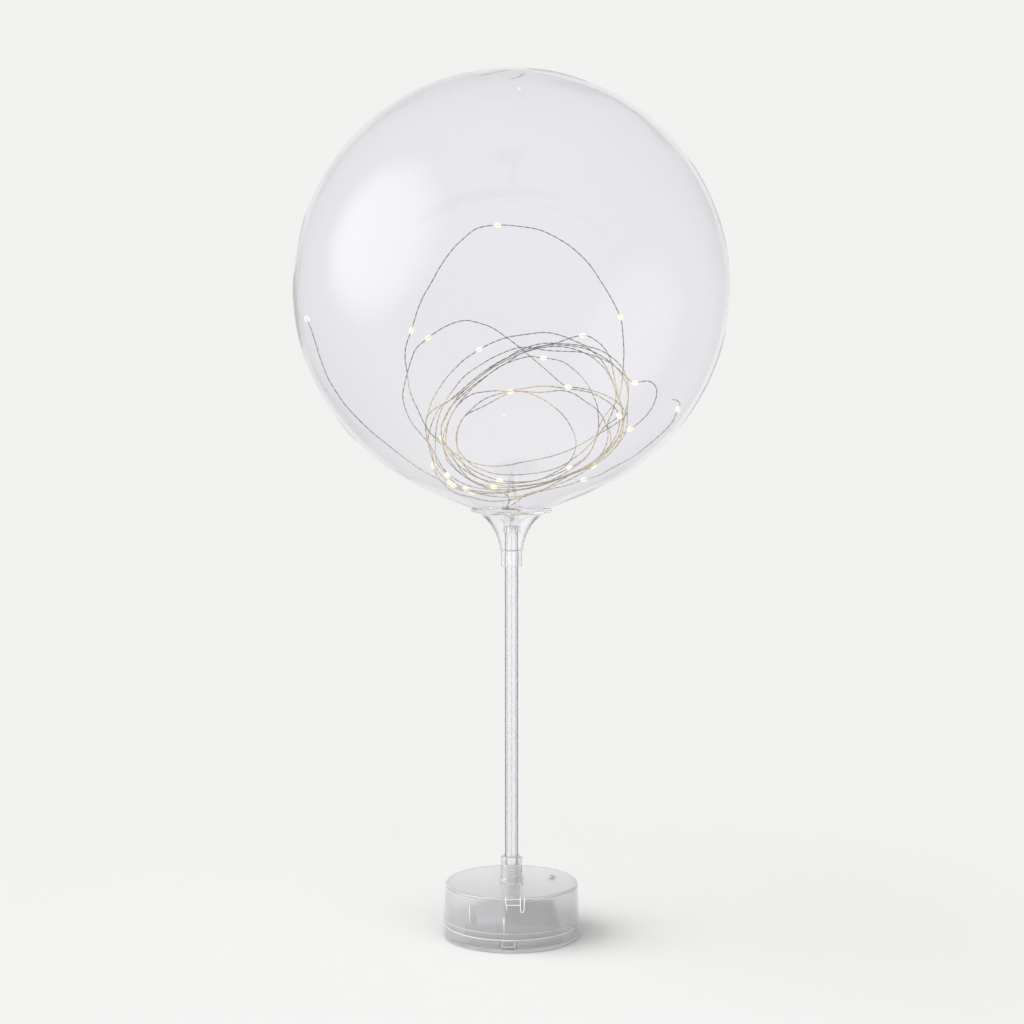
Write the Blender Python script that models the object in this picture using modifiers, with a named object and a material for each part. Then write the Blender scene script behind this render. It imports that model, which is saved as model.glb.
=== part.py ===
"""A table-top bubble balloon light: a clear film ball in a trumpet cup, on a pole and a battery base.

Metres, +Z up. The origin is the middle of the underside of the base.
"""

import math

import bmesh
import bpy
from mathutils import Vector

OBJECT_NAME = "bubble_balloon_light"

# Gap left between pieces that touch or push together
FIT = 0.0003

# Base: a housing with a top, closed below by a shallow battery cover
FOOT_RADIUS = 0.0430
BASE_HEIGHT = 0.0335
BASE_DRAFT = 0.0010
HOUSING_WALL = 0.0018
HOUSING_TOP = 0.0020
TOP_ROUND = 0.0014
BAND_HEIGHT = 0.0038
BAND_STEP = 0.0004
LIP_HEIGHT = 0.0032
LIP_WALL = 0.0012
COVER_HEIGHT = 0.0077
COVER_FLOOR = 0.0022
COVER_WALL = 0.0018
COVER_CHAMFER = 0.0007

# Snap catch in the front of the cover
LATCH_X = -0.0020
LATCH_WIDTH = 0.0092
LATCH_THICKNESS = 0.0019
LATCH_GAP = 0.0005
GROOVE_WIDTH = 0.0056
GROOVE_HEIGHT = 0.0011
GROOVE_DEPTH = 0.0008

# Threaded boss in the middle of the base, with a wire bore and a guide tube under the top
BOSS_RADIUS = 0.0049
BOSS_HEIGHT = 0.0110
WIRE_BORE_RADIUS = 0.0026
GUIDE_RADIUS = 0.0042
GUIDE_DROP = 0.0070

# Coupling nut between the boss and the pole
COUPLING_RADIUS = 0.0066
COUPLING_GRIP = 0.0052
COUPLING_CHAMFER = 0.0010
FLANGE_RADIUS = 0.0073
FLANGE_HEIGHT = 0.0026

# Pole
POLE_RADIUS = 0.0041
POLE_WALL = 0.0012
POLE_LENGTH = 0.2135

# Trumpet cup
CUP_RADIUS = 0.0251
CUP_FLARE_DEPTH = 0.0256
CUP_FLARE_LENGTH = 0.0100
CUP_WALL = 0.0010
CUP_RIM_HEIGHT = 0.0014
CUP_RIM_WIDTH = 0.0027
CUP_SLEEVE_RADIUS = 0.0064
CUP_SLEEVE_HEIGHT = 0.0100
CUP_ABOVE_POLE = 0.0100
FLARE_STEPS = 9
FLARE_BIAS = 1.3

# Balloon: the ball, and its neck, parted from it at the cup's rim, that goes over the pole's end
BALLOON_RADIUS = 0.1338
BALLOON_LIFT = 0.0012
NECK_WALL = 0.0009
NECK_GRIP = 0.0045
NECK_SHOULDER = 0.50
NECK_WAIST = 0.55
NECK_STEPS = 6
WIRE_ROOM = 0.0015
WIRE_CLEARANCE = 0.0012

# Cells and their contacts
CELL_COUNT = 3
CELL_RADIUS = 0.0071
CELL_LENGTH = 0.0490
CELL_SHOULDER = 0.0010
NUB_RADIUS = 0.0027
NUB_LENGTH = 0.0013
CELL_SPACING = 0.0006
CONTACT_THICKNESS = 0.0006
CONTACT_HEIGHT = 0.0125
SPRING_RADIUS = 0.0030
SPRING_LENGTH = 0.0038
TRAY_X = 0.0013
TRAY_WALL = 0.0012
TRAY_HEIGHT = 0.0090

# Screw in the top of the base
SCREW_X = 0.0253
SCREW_Y = 0.0090
SCREW_HEAD_RADIUS = 0.0024
SCREW_HEAD_HEIGHT = 0.0013
SCREW_SHANK_RADIUS = 0.0011
SCREW_SHANK_LENGTH = 0.0060
SCREW_DOME = ((0, 1), (0.55, 0.94), (0.88, 0.66), (1, 0.25), (1, 0))
RECESS_WIDTH = 0.0006
RECESS_LENGTH = 0.0028
RECESS_DEPTH = 0.0007

# Lead from the contacts up the pole; its bend is by share of the way out and rise over the cells
LEAD_RADIUS = 0.0007
LEAD_Y = 0.0042
LEAD_LIFT = 0.0018
LEAD_ABOVE_POLE = 0.0030
LEAD_STEP = 0.0035
LEAD_BEND = ((0.78, 0), (0.50, 0), (0.30, 0.0001), (0.14, 0.0011), (0.04, 0.0033))
FINE_STEPS = 16

# Heights that follow from the sizes above
HOUSING_Z = COVER_HEIGHT + FIT
POLE_Z = BASE_HEIGHT + BOSS_HEIGHT + FIT
POLE_TOP = POLE_Z + POLE_LENGTH
RIM_Z = POLE_TOP + CUP_ABOVE_POLE
BALLOON_Z = RIM_Z + BALLOON_LIFT + BALLOON_RADIUS
CELL_Z = COVER_FLOOR + FIT + CELL_RADIUS

# The row of cells in its tray
TRAY_HALF_LENGTH = (NUB_LENGTH + CELL_LENGTH + SPRING_LENGTH) / 2 + CONTACT_THICKNESS + 2 * FIT
CELL_PITCH = 2 * CELL_RADIUS + CELL_SPACING
TRAY_HALF_WIDTH = (CELL_COUNT - 1) / 2 * CELL_PITCH + CELL_RADIUS + FIT

# Facets round the turned pieces, and down the ball and the base's top edge
BALLOON_STEPS = 48
BASE_STEPS = 56
CUP_STEPS = 40
SLEEVE_STEPS = 24
CELL_STEPS = 16
BALL_ARC_STEPS = 22
ROUND_STEPS = 4

# How far a cutter stands out of the face it cuts
CUT_DEPTH = 0.004


def clear_scene():
    for item in list(bpy.data.objects):
        bpy.data.objects.remove(item, do_unlink=True)


def new_collection(name):
    collection = bpy.data.collections.new(name)
    bpy.context.scene.collection.children.link(collection)
    return collection


def new_material(name, colour, roughness, metallic=0.0, transmission=0.0):
    material = bpy.data.materials.new(name)
    material.use_nodes = True
    shader = material.node_tree.nodes["Principled BSDF"]
    shader.inputs["Base Color"].default_value = (*colour, 1.0)
    shader.inputs["Roughness"].default_value = roughness
    shader.inputs["Metallic"].default_value = metallic
    shader.inputs["Transmission Weight"].default_value = transmission
    return material


def add_object(name, data, collection, material=None, location=(0, 0, 0), rotation=(0, 0, 0)):
    item = bpy.data.objects.new(name, data)
    item.location = location
    item.rotation_euler = rotation
    if material:
        data.materials.append(material)
    collection.objects.link(item)
    return item


def as_cutter(item):
    item.hide_render = True
    item.display_type = "WIRE"
    return item


def turned(name, profile, steps, collection, closed=False, **place):
    """A profile of (radius, height) points, turned about Z by a Screw modifier."""
    mesh = bpy.data.meshes.new(name)
    count = len(profile)
    edges = [(i, i + 1) for i in range(count - 1)]
    if closed:
        edges.append((count - 1, 0))
    mesh.from_pydata([(r, 0, z) for r, z in profile], edges, [])
    item = add_object(name, mesh, collection, **place)
    screw = item.modifiers.new("Turn", "SCREW")
    screw.axis = "Z"
    screw.steps = steps
    screw.render_steps = steps
    screw.use_smooth_shade = True
    screw.use_merge_vertices = True
    screw.merge_threshold = 0.00001
    return item


def block(name, low, high, collection, **place):
    """A box between two corners."""
    shape = bmesh.new()
    bmesh.ops.create_cube(shape, size=1.0)
    low, high = Vector(low), Vector(high)
    for vert in shape.verts:
        share = vert.co + Vector((0.5, 0.5, 0.5))
        vert.co = low + Vector(a * b for a, b in zip(share, high - low))
    mesh = bpy.data.meshes.new(name)
    shape.to_mesh(mesh)
    shape.free()
    return add_object(name, mesh, collection, **place)


def combine(item, other, operation):
    boolean = item.modifiers.new(operation.title(), "BOOLEAN")
    boolean.operation = operation
    boolean.solver = "EXACT"
    boolean.object = other


def arc(centre_r, centre_z, radius, start, end, count):
    """Points on a circle of the profile plane, by the angle from +radius towards +Z."""
    angles = [start + (end - start) * i / count for i in range(count + 1)]
    return [(centre_r + radius * math.cos(a), centre_z + radius * math.sin(a)) for a in angles]


def bezier(p0, p1, p2, p3, count):
    """Points on a cubic curve, without its first one."""
    points = []
    for i in range(1, count + 1):
        t = i / count
        weights = ((1 - t) ** 3, 3 * t * (1 - t) ** 2, 3 * t * t * (1 - t), t ** 3)
        points.append(tuple(sum(w * p[k] for w, p in zip(weights, (p0, p1, p2, p3))) for k in (0, 1)))
    return points


def smooth_route(points, step):
    """Evenly spaced points on a Catmull-Rom curve through the route's own points."""
    route = [Vector(p) for p in points]
    ends = [2 * route[0] - route[1], *route, 2 * route[-1] - route[-2]]
    fine = [route[0]]
    for a, b, c, d in zip(ends, ends[1:], ends[2:], ends[3:]):
        for i in range(1, FINE_STEPS + 1):
            t = i / FINE_STEPS
            fine.append(0.5 * (2 * b + (c - a) * t + (2 * a - 5 * b + 4 * c - d) * t ** 2
                               + (3 * b - a - 3 * c + d) * t ** 3))
    along = [0.0]
    for a, b in zip(fine, fine[1:]):
        along.append(along[-1] + (b - a).length)
    count = math.ceil(along[-1] / step)
    even = []
    k = 0
    for i in range(count + 1):
        target = along[-1] * i / count
        while k < len(along) - 2 and along[k + 1] < target:
            k += 1
        share = (target - along[k]) / (along[k + 1] - along[k])
        even.append(fine[k].lerp(fine[k + 1], share))
    return even


def cover_mesh(parts, cutters, material):
    """Battery cover: a shallow dish with a tray for the cells and a window for the catch."""
    inner = FOOT_RADIUS - COVER_WALL
    profile = [
        (0, COVER_FLOOR),
        (inner, COVER_FLOOR),
        (inner, COVER_HEIGHT),
        (FOOT_RADIUS, COVER_HEIGHT),
        (FOOT_RADIUS, COVER_CHAMFER),
        (FOOT_RADIUS - COVER_CHAMFER, 0),
        (0, 0),
    ]
    cover = turned("battery_cover", profile, BASE_STEPS, parts, material=material)

    half_x, half_y = TRAY_HALF_LENGTH, TRAY_HALF_WIDTH
    top = COVER_FLOOR + TRAY_HEIGHT
    sunk = COVER_FLOOR / 2
    tray = block("tray", (TRAY_X - half_x - TRAY_WALL, -half_y - TRAY_WALL, sunk),
                 (TRAY_X + half_x + TRAY_WALL, half_y + TRAY_WALL, top), cutters)
    room = block("tray_room", (TRAY_X - half_x, -half_y, COVER_FLOOR),
                 (TRAY_X + half_x, half_y, top + CUT_DEPTH), cutters)
    combine(as_cutter(tray), as_cutter(room), "DIFFERENCE")
    combine(cover, tray, "UNION")

    half = LATCH_WIDTH / 2 + LATCH_GAP
    window = block("catch_window", (LATCH_X - half, -FOOT_RADIUS - CUT_DEPTH, COVER_FLOOR),
                   (LATCH_X + half, -inner + CUT_DEPTH / 2, COVER_HEIGHT + CUT_DEPTH), cutters)
    combine(cover, as_cutter(window), "DIFFERENCE")
    return cover


def housing_mesh(parts, cutters, material):
    """Housing: drafted wall, top, threaded boss, guide tube, and a lip that goes into the cover."""
    top = BASE_HEIGHT - HOUSING_Z
    band = BAND_HEIGHT
    wall_foot = FOOT_RADIUS - BAND_STEP
    wall_top = wall_foot - BASE_DRAFT
    lip = FOOT_RADIUS - COVER_WALL - FIT
    ceiling = top - HOUSING_TOP
    corner = arc(wall_top - TOP_ROUND, top - TOP_ROUND, TOP_ROUND, math.pi / 2, 0, ROUND_STEPS)
    profile = [
        (WIRE_BORE_RADIUS, top + BOSS_HEIGHT),
        (BOSS_RADIUS, top + BOSS_HEIGHT),
        (BOSS_RADIUS, top),
        *corner,
        (wall_foot, band + BAND_STEP),
        (FOOT_RADIUS, band),
        (FOOT_RADIUS, 0),
        (lip, 0),
        (lip, -LIP_HEIGHT),
        (lip - LIP_WALL, -LIP_HEIGHT),
        (lip - LIP_WALL, 0),
        (wall_foot - HOUSING_WALL, band),
        (wall_top - HOUSING_WALL, ceiling),
        (GUIDE_RADIUS, ceiling),
        (GUIDE_RADIUS, ceiling - GUIDE_DROP),
        (WIRE_BORE_RADIUS, ceiling - GUIDE_DROP),
    ]
    housing = turned("base_housing", profile, BASE_STEPS, parts, closed=True, material=material,
                     location=(0, 0, HOUSING_Z))

    front = lip + LATCH_THICKNESS - FIT
    back = lip - LIP_WALL / 2
    bottom = COVER_FLOOR + LATCH_GAP
    catch = block("catch", (LATCH_X - LATCH_WIDTH / 2, -front, bottom),
                  (LATCH_X + LATCH_WIDTH / 2, -back, HOUSING_Z + BAND_HEIGHT / 3), cutters)
    middle = (bottom + HOUSING_Z) / 2
    half, rise = GROOVE_WIDTH / 2, GROOVE_HEIGHT / 2
    groove = block("catch_groove", (LATCH_X - half, -front - CUT_DEPTH, middle - rise),
                   (LATCH_X + half, -front + GROOVE_DEPTH, middle + rise), cutters)
    combine(as_cutter(catch), as_cutter(groove), "DIFFERENCE")
    combine(housing, catch, "UNION")

    radius = SCREW_SHANK_RADIUS + FIT
    hole = turned("screw_hole", [(0, CUT_DEPTH), (radius, CUT_DEPTH), (radius, -CUT_DEPTH), (0, -CUT_DEPTH)],
                  SLEEVE_STEPS // 2, cutters, location=(SCREW_X, SCREW_Y, BASE_HEIGHT))
    combine(housing, as_cutter(hole), "DIFFERENCE")
    return housing


def coupling_mesh(parts, material):
    """Coupling nut: a flanged sleeve, bored wide for the boss and narrower for the pole."""
    top = BOSS_HEIGHT + COUPLING_GRIP
    shoulder = BOSS_HEIGHT
    pole_bore = POLE_RADIUS + FIT
    boss_bore = BOSS_RADIUS + FIT
    profile = [
        (pole_bore, top),
        (COUPLING_RADIUS - COUPLING_CHAMFER, top),
        (COUPLING_RADIUS, top - COUPLING_CHAMFER),
        (COUPLING_RADIUS, FLANGE_HEIGHT),
        (FLANGE_RADIUS, FLANGE_HEIGHT - COUPLING_CHAMFER / 2),
        (FLANGE_RADIUS, 0),
        (boss_bore, 0),
        (boss_bore, shoulder),
        (pole_bore, shoulder),
    ]
    return turned("pole_coupling", profile, SLEEVE_STEPS, parts, closed=True, material=material,
                  location=(0, 0, BASE_HEIGHT + FIT))


def pole_mesh(parts, material):
    bore = POLE_RADIUS - POLE_WALL
    profile = [(bore, POLE_LENGTH), (POLE_RADIUS, POLE_LENGTH), (POLE_RADIUS, 0), (bore, 0)]
    return turned("pole", profile, SLEEVE_STEPS, parts, closed=True, material=material,
                  location=(0, 0, POLE_Z))


def flare(depth, inset=0):
    """A point of the trumpet's outside, an exponential horn, or the point an inset square in from it."""
    narrowing = CUP_RADIUS - CUP_SLEEVE_RADIUS - CUP_WALL / 2
    narrowing /= 1 - math.exp(-CUP_FLARE_DEPTH / CUP_FLARE_LENGTH)
    fade = math.exp(-depth / CUP_FLARE_LENGTH)
    slope = -narrowing * fade / CUP_FLARE_LENGTH
    along = inset / math.hypot(1, slope)
    return CUP_RADIUS - narrowing * (1 - fade) - along, -depth - slope * along


def cup_mesh(parts, material):
    """Trumpet cup: a flat rim, a horn of even wall, and a sleeve bored for the pole."""
    start = CUP_RIM_HEIGHT + CUP_WALL / 2
    shares = [(i / FLARE_STEPS) ** FLARE_BIAS for i in range(FLARE_STEPS + 1)]
    depths = [start + (CUP_FLARE_DEPTH - start) * share for share in shares]
    outside = [flare(d) for d in depths]
    inside = [flare(d, CUP_WALL) for d in reversed(depths)]
    bore = POLE_RADIUS + FIT
    bottom = -CUP_FLARE_DEPTH - CUP_SLEEVE_HEIGHT
    profile = [
        (CUP_RADIUS - CUP_RIM_WIDTH / 2, 0),
        (CUP_RADIUS, 0),
        (CUP_RADIUS, -CUP_RIM_HEIGHT),
        *outside,
        (CUP_SLEEVE_RADIUS, -CUP_FLARE_DEPTH),
        (CUP_SLEEVE_RADIUS, bottom),
        (bore, bottom),
        (bore, -CUP_FLARE_DEPTH + CUP_WALL / 2),
        *inside,
    ]
    return turned("trumpet_cup", profile, CUP_STEPS, parts, closed=True, material=material,
                  location=(0, 0, RIM_Z))


def ball_foot():
    """Where the ball ends on the cup's rim, from the ball's centre, and the angle of its cone there."""
    rim_r = CUP_RADIUS - CUP_RIM_WIDTH / 2
    rim_z = RIM_Z + FIT - BALLOON_Z
    lean = math.atan2(rim_r, -rim_z)
    touch = lean + math.acos(BALLOON_RADIUS / math.hypot(rim_r, rim_z))
    return rim_r, rim_z, touch


def balloon_mesh(parts, material):
    """Balloon: a ball drawn down by a cone that ends on the cup's rim, where the neck is parted from it."""
    rim_r, rim_z, touch = ball_foot()
    ball = arc(0, 0, BALLOON_RADIUS, math.pi / 2, touch - math.pi / 2, BALL_ARC_STEPS)
    ball[0] = (0, BALLOON_RADIUS)
    profile = [*ball, (rim_r, rim_z), (0, rim_z)]
    return turned("balloon", profile, BALLOON_STEPS, parts, material=material, location=(0, 0, BALLOON_Z))


def neck_mesh(parts, material):
    """Neck: carries the ball's cone on into the cup, narrows, and goes over the pole's end."""
    rim_r, rim_z, touch = ball_foot()
    top_r = rim_r - FIT / math.tan(touch)
    top_z = rim_z - FIT
    neck_r = POLE_RADIUS + FIT + NECK_WALL
    waist_z = POLE_TOP + FIT - BALLOON_Z
    bottom = POLE_TOP - NECK_GRIP - BALLOON_Z
    slide = (top_r - neck_r) * NECK_SHOULDER
    drop = slide * math.tan(touch)
    shoulder = (top_r - slide, top_z - drop)
    waist = (neck_r, waist_z + (top_z - waist_z) * NECK_WAIST)

    bore = POLE_RADIUS + FIT
    ceiling = POLE_TOP + LEAD_ABOVE_POLE + WIRE_ROOM - BALLOON_Z
    wire_r = LEAD_RADIUS + WIRE_CLEARANCE
    profile = [
        (0, top_z),
        (top_r, top_z),
        *bezier((top_r, top_z), shoulder, waist, (neck_r, waist_z), NECK_STEPS),
        (neck_r, bottom),
        (bore, bottom),
        (bore, waist_z),
        (wire_r, waist_z),
        (wire_r, ceiling),
        (0, ceiling),
    ]
    return turned("balloon_neck", profile, CUP_STEPS, parts, material=material, location=(0, 0, BALLOON_Z))


def cell_places():
    """(y, direction) of each cell: they lie along X, turned end for end in turn."""
    middle = (CELL_COUNT - 1) / 2
    return [((i - middle) * CELL_PITCH, 1 if i % 2 == 0 else -1) for i in range(CELL_COUNT)]


def cell_meshes(parts, material):
    half = TRAY_HALF_LENGTH - FIT - CONTACT_THICKNESS - FIT
    foot_to_tip = CELL_LENGTH + NUB_LENGTH
    profile = [
        (0, foot_to_tip),
        (NUB_RADIUS, foot_to_tip),
        (NUB_RADIUS, CELL_LENGTH),
        (CELL_RADIUS - CELL_SHOULDER, CELL_LENGTH),
        (CELL_RADIUS, CELL_LENGTH - CELL_SHOULDER),
        (CELL_RADIUS, 0),
        (0, 0),
    ]
    for i, (y, direction) in enumerate(cell_places()):
        foot = TRAY_X + direction * (half - foot_to_tip)
        turned(f"battery_{i + 1}", profile, CELL_STEPS, parts, material=material,
               location=(foot, y, CELL_Z), rotation=(0, direction * math.pi / 2, 0))


def contact_mesh(name, side, parts, cutters, material):
    """A contact plate at one end of the tray, with a spring stub for each cell whose flat end it meets."""
    outer = TRAY_X + side * (TRAY_HALF_LENGTH - FIT)
    inner = outer - side * CONTACT_THICKNESS
    reach = TRAY_HALF_WIDTH - FIT
    bottom = COVER_FLOOR + FIT
    plate = block(name, (min(inner, outer), -reach, bottom),
                  (max(inner, outer), reach, bottom + CONTACT_HEIGHT), parts, material=material)
    root = outer - side * CONTACT_THICKNESS / 2
    length = SPRING_LENGTH + CONTACT_THICKNESS / 2
    profile = [(0, length), (SPRING_RADIUS, length), (SPRING_RADIUS, 0), (0, 0)]
    for i, (y, direction) in enumerate(cell_places()):
        if direction == side:
            continue
        spring = turned(f"{name}_spring_{i + 1}", profile, CELL_STEPS, cutters,
                        location=(root, y, CELL_Z), rotation=(0, -side * math.pi / 2, 0))
        combine(plate, as_cutter(spring), "UNION")
    return plate


def screw_mesh(parts, cutters, material):
    """Pan-head screw with a cross recess."""
    head = SCREW_HEAD_HEIGHT
    profile = [
        *[(SCREW_HEAD_RADIUS * out, head * up) for out, up in SCREW_DOME],
        (SCREW_SHANK_RADIUS, 0),
        (SCREW_SHANK_RADIUS, -SCREW_SHANK_LENGTH),
        (0, -SCREW_SHANK_LENGTH),
    ]
    place = (SCREW_X, SCREW_Y, BASE_HEIGHT + FIT)
    screw = turned("top_screw", profile, SLEEVE_STEPS, parts, material=material, location=place)
    for i, (across, along) in enumerate(((RECESS_WIDTH, RECESS_LENGTH), (RECESS_LENGTH, RECESS_WIDTH))):
        slot = block(f"screw_recess_{i + 1}", (-across / 2, -along / 2, head - RECESS_DEPTH),
                     (across / 2, along / 2, head + CUT_DEPTH), cutters, location=place)
        combine(screw, as_cutter(slot), "DIFFERENCE")
    return screw


def lead_mesh(parts, material):
    """Lead: from the left contact over the cells, then up the guide tube, the boss and the pole."""
    contact_x = TRAY_X - TRAY_HALF_LENGTH + FIT + CONTACT_THICKNESS / 2
    contact_top = COVER_FLOOR + FIT + CONTACT_HEIGHT + FIT + LEAD_RADIUS
    over = max(contact_top, CELL_Z + CELL_RADIUS + LEAD_RADIUS) + LEAD_LIFT
    guide = BASE_HEIGHT - HOUSING_TOP - GUIDE_DROP
    route = [
        (contact_x, LEAD_Y, contact_top),
        (contact_x + LEAD_LIFT, LEAD_Y, contact_top + LEAD_LIFT),
        *[(contact_x * share, LEAD_Y * share, over + rise) for share, rise in LEAD_BEND],
        (0, 0, guide + LEAD_LIFT),
        (0, 0, BASE_HEIGHT),
        (0, 0, POLE_Z),
        (0, 0, POLE_Z + POLE_LENGTH / 2),
        (0, 0, POLE_TOP + LEAD_ABOVE_POLE),
    ]
    points = smooth_route(route, LEAD_STEP)
    curve = bpy.data.curves.new("lead_wire", "CURVE")
    curve.dimensions = "3D"
    curve.bevel_depth = LEAD_RADIUS
    curve.bevel_resolution = 2
    curve.use_fill_caps = True
    spline = curve.splines.new("POLY")
    spline.points.add(len(points) - 1)
    for target, point in zip(spline.points, points):
        target.co = (*point, 1)
    return add_object("lead_wire", curve, parts, material=material)


def main():
    clear_scene()
    parts = new_collection(OBJECT_NAME)
    cutters = new_collection("cutters")

    film = new_material("film", (0.93, 0.93, 0.96), 0.04, transmission=1.0)
    cup_plastic = new_material("cup_plastic", (0.92, 0.92, 0.94), 0.06, transmission=1.0)
    pole_plastic = new_material("pole_plastic", (0.88, 0.87, 0.92), 0.18, transmission=0.9)
    coupling_plastic = new_material("coupling_plastic", (0.90, 0.90, 0.91), 0.10, transmission=0.9)
    housing_plastic = new_material("housing_plastic", (0.90, 0.90, 0.92), 0.08, transmission=0.9)
    cover_plastic = new_material("cover_plastic", (0.86, 0.86, 0.86), 0.12, transmission=0.85)
    wrap = new_material("cell_wrap", (0.33, 0.33, 0.35), 0.35)
    steel = new_material("screw_steel", (0.70, 0.70, 0.72), 0.20, metallic=1.0)
    plated = new_material("contact_steel", (0.62, 0.61, 0.58), 0.30, metallic=1.0)
    copper = new_material("lead_copper", (0.36, 0.32, 0.28), 0.40, metallic=0.4)

    cover_mesh(parts, cutters, cover_plastic)
    housing_mesh(parts, cutters, housing_plastic)
    cell_meshes(parts, wrap)
    contact_mesh("contact_left", -1, parts, cutters, plated)
    contact_mesh("contact_right", 1, parts, cutters, plated)
    screw_mesh(parts, cutters, steel)
    coupling_mesh(parts, coupling_plastic)
    pole_mesh(parts, pole_plastic)
    lead_mesh(parts, copper)
    cup_mesh(parts, cup_plastic)
    balloon_mesh(parts, film)
    neck_mesh(parts, film)

    stand = bpy.data.objects.new(OBJECT_NAME, None)
    parts.objects.link(stand)
    for item in [*parts.objects, *cutters.objects]:
        if item is not stand:
            item.parent = stand


main()
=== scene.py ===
"""Bubble balloon light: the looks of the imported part, made piece by piece in its frame.

Metres, +Z up, +Y away from the viewer. Each piece has its own operator, and main() calls them in order.
"""

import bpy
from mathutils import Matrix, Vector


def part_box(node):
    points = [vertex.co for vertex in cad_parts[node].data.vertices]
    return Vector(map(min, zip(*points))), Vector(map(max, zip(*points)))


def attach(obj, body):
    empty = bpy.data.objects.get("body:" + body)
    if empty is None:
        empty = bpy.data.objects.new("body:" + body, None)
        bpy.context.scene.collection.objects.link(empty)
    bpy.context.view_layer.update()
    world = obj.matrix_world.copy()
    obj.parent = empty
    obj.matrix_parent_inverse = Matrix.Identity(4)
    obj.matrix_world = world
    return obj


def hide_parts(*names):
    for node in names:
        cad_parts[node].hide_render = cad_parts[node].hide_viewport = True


bl_info = {
    "name": "Bubble balloon light",
    "version": (1, 0, 0),
    "blender": (4, 5, 0),
    "location": "View3D > Sidebar > Balloon light",
    "description": "Makes a clear film balloon with fairy lights, its trumpet cup, pole and battery base",
    "category": "Object",
}

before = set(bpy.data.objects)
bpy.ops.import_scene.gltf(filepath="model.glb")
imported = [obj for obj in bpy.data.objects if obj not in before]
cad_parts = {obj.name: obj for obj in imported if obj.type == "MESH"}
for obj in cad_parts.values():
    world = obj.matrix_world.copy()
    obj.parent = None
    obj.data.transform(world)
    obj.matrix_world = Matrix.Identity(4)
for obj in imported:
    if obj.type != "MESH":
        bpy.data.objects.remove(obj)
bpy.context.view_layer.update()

import math

import bmesh
import bpy
from bpy.props import FloatProperty, FloatVectorProperty, IntProperty, PointerProperty
from mathutils import Vector

BODY = "root"

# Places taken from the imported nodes
BALL_LOW, BALL_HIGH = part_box("balloon")
CUP_LOW, CUP_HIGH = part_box("trumpet_cup")
POLE_LOW, POLE_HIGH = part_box("pole")
NUT_LOW, NUT_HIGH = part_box("pole_coupling")
COVER_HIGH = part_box("battery_cover")[1]
SCREW_LOW, SCREW_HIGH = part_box("top_screw")
BALL_RADIUS = (BALL_HIGH.x - BALL_LOW.x) / 2
BALL_Z = BALL_HIGH.z - BALL_RADIUS
RIM_Z = CUP_HIGH.z
RIM_RADIUS = CUP_HIGH.x
POLE_TOP = POLE_HIGH.z
POLE_RADIUS = POLE_HIGH.x
FOOT_RADIUS = COVER_HIGH.x
FIT = 0.0003

# Camera: a 36 mm frame of 1024 pixels, placed by the ellipses of the base, the cup's rim and the ball
FRAME_PX = 1024
MIDDLE_PX = FRAME_PX / 2
SENSOR = 0.036
LENS = 0.07602
FOCAL_PX = LENS / SENSOR * FRAME_PX
CAMERA_AT = Vector((0.0003, -1.3321, 0.38847))
CAMERA_DIP = math.radians(5.235)

# Light passes up to sixteen clear walls on its way through the cup, the neck and the pole
LIGHT_BOUNCES = 32
MATT_BOUNCES = 8
# Soft lights and darker sides of the room: a direction, and the angles from it in degrees where each ends
# and where it is full
WINDOW = ((-0.915, -0.214, 0.340), 40, 11)
KEY_BOX = ((-0.78, -0.10, 0.62), 42, 10)
CARD = ((0.75, -0.60, 0.28), 42, 10)
FRONT = ((0, -1, 0.35), 62, 20)
BACKDROP = ((0, 1, 0), 33, 27)
DIM_SIDE = ((1.0, 0.10, 0.05), 66, 24)
OVERHEAD = ((0.25, 0.60, 0.80), 52, 18)
# The floor: its size, and the radii between which it stops showing in gloss
FLOOR_RADIUS = 4.0
FLOOR_Z = -0.0002
GLOSS_FADE = (0.10, 0.35)

# Light strings, by the pixels of the photograph that their runs pass, in the order that each is followed.
# A run's first number is its depth in millimetres at the foot of the ring, the next how fast it leans back.
STRING_EXIT = 0.0030
ROUTE_STEP = 0.0025
DEPTH_PASSES = 3
FOOT_PX = 500
LEAN = 0.479
BUNDLE_UP = ((441, 429), (446, 417), (452, 405.5), (459.5, 395.5), (472, 383.5), (484, 373.5),
             (495.5, 364.5), (507, 358), (520, 350), (541, 343.7), (561, 343.7), (581.5, 345.7),
             (592, 351), (602, 361), (608, 371), (613.5, 383.5), (618.5, 400), (622, 413))
BUNDLE_BEAD = ((441, 432), (444, 419), (450.5, 407), (461.5, 396), (474, 385), (485, 377), (498, 368),
               (509, 361.5), (522, 353), (543.9, 345.7), (557, 342.7), (575.5, 336.5), (587.8, 336),
               (598, 342), (605, 349), (610, 358), (613, 370), (616, 386), (620, 400), (623, 414))
BUNDLE_DOWN = ((499.5, 354.4), (484, 362.8), (465, 375.8), (453.6, 389.6), (445, 402), (439, 416),
               (436, 430), (435.2, 445), (435.7, 459.7), (439, 466), (446.4, 474))
TOP_ARCH = ((626.7, 428.7), (627.5, 408), (628.6, 391.6), (627.6, 381.4), (623.5, 370), (617.3, 362),
            (607, 354), (598, 349.3), (585.7, 345.7), (570.4, 339), (557, 334.3), (542.9, 332.4),
            (525.5, 334.5), (509, 337), (494, 342), (480.3, 349), (472, 354.4), (465, 359), (457.4, 366),
            (447.4, 376.6), (438.3, 389.6), (432, 401), (428.3, 412), (425.5, 424), (427.5, 441))
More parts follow.
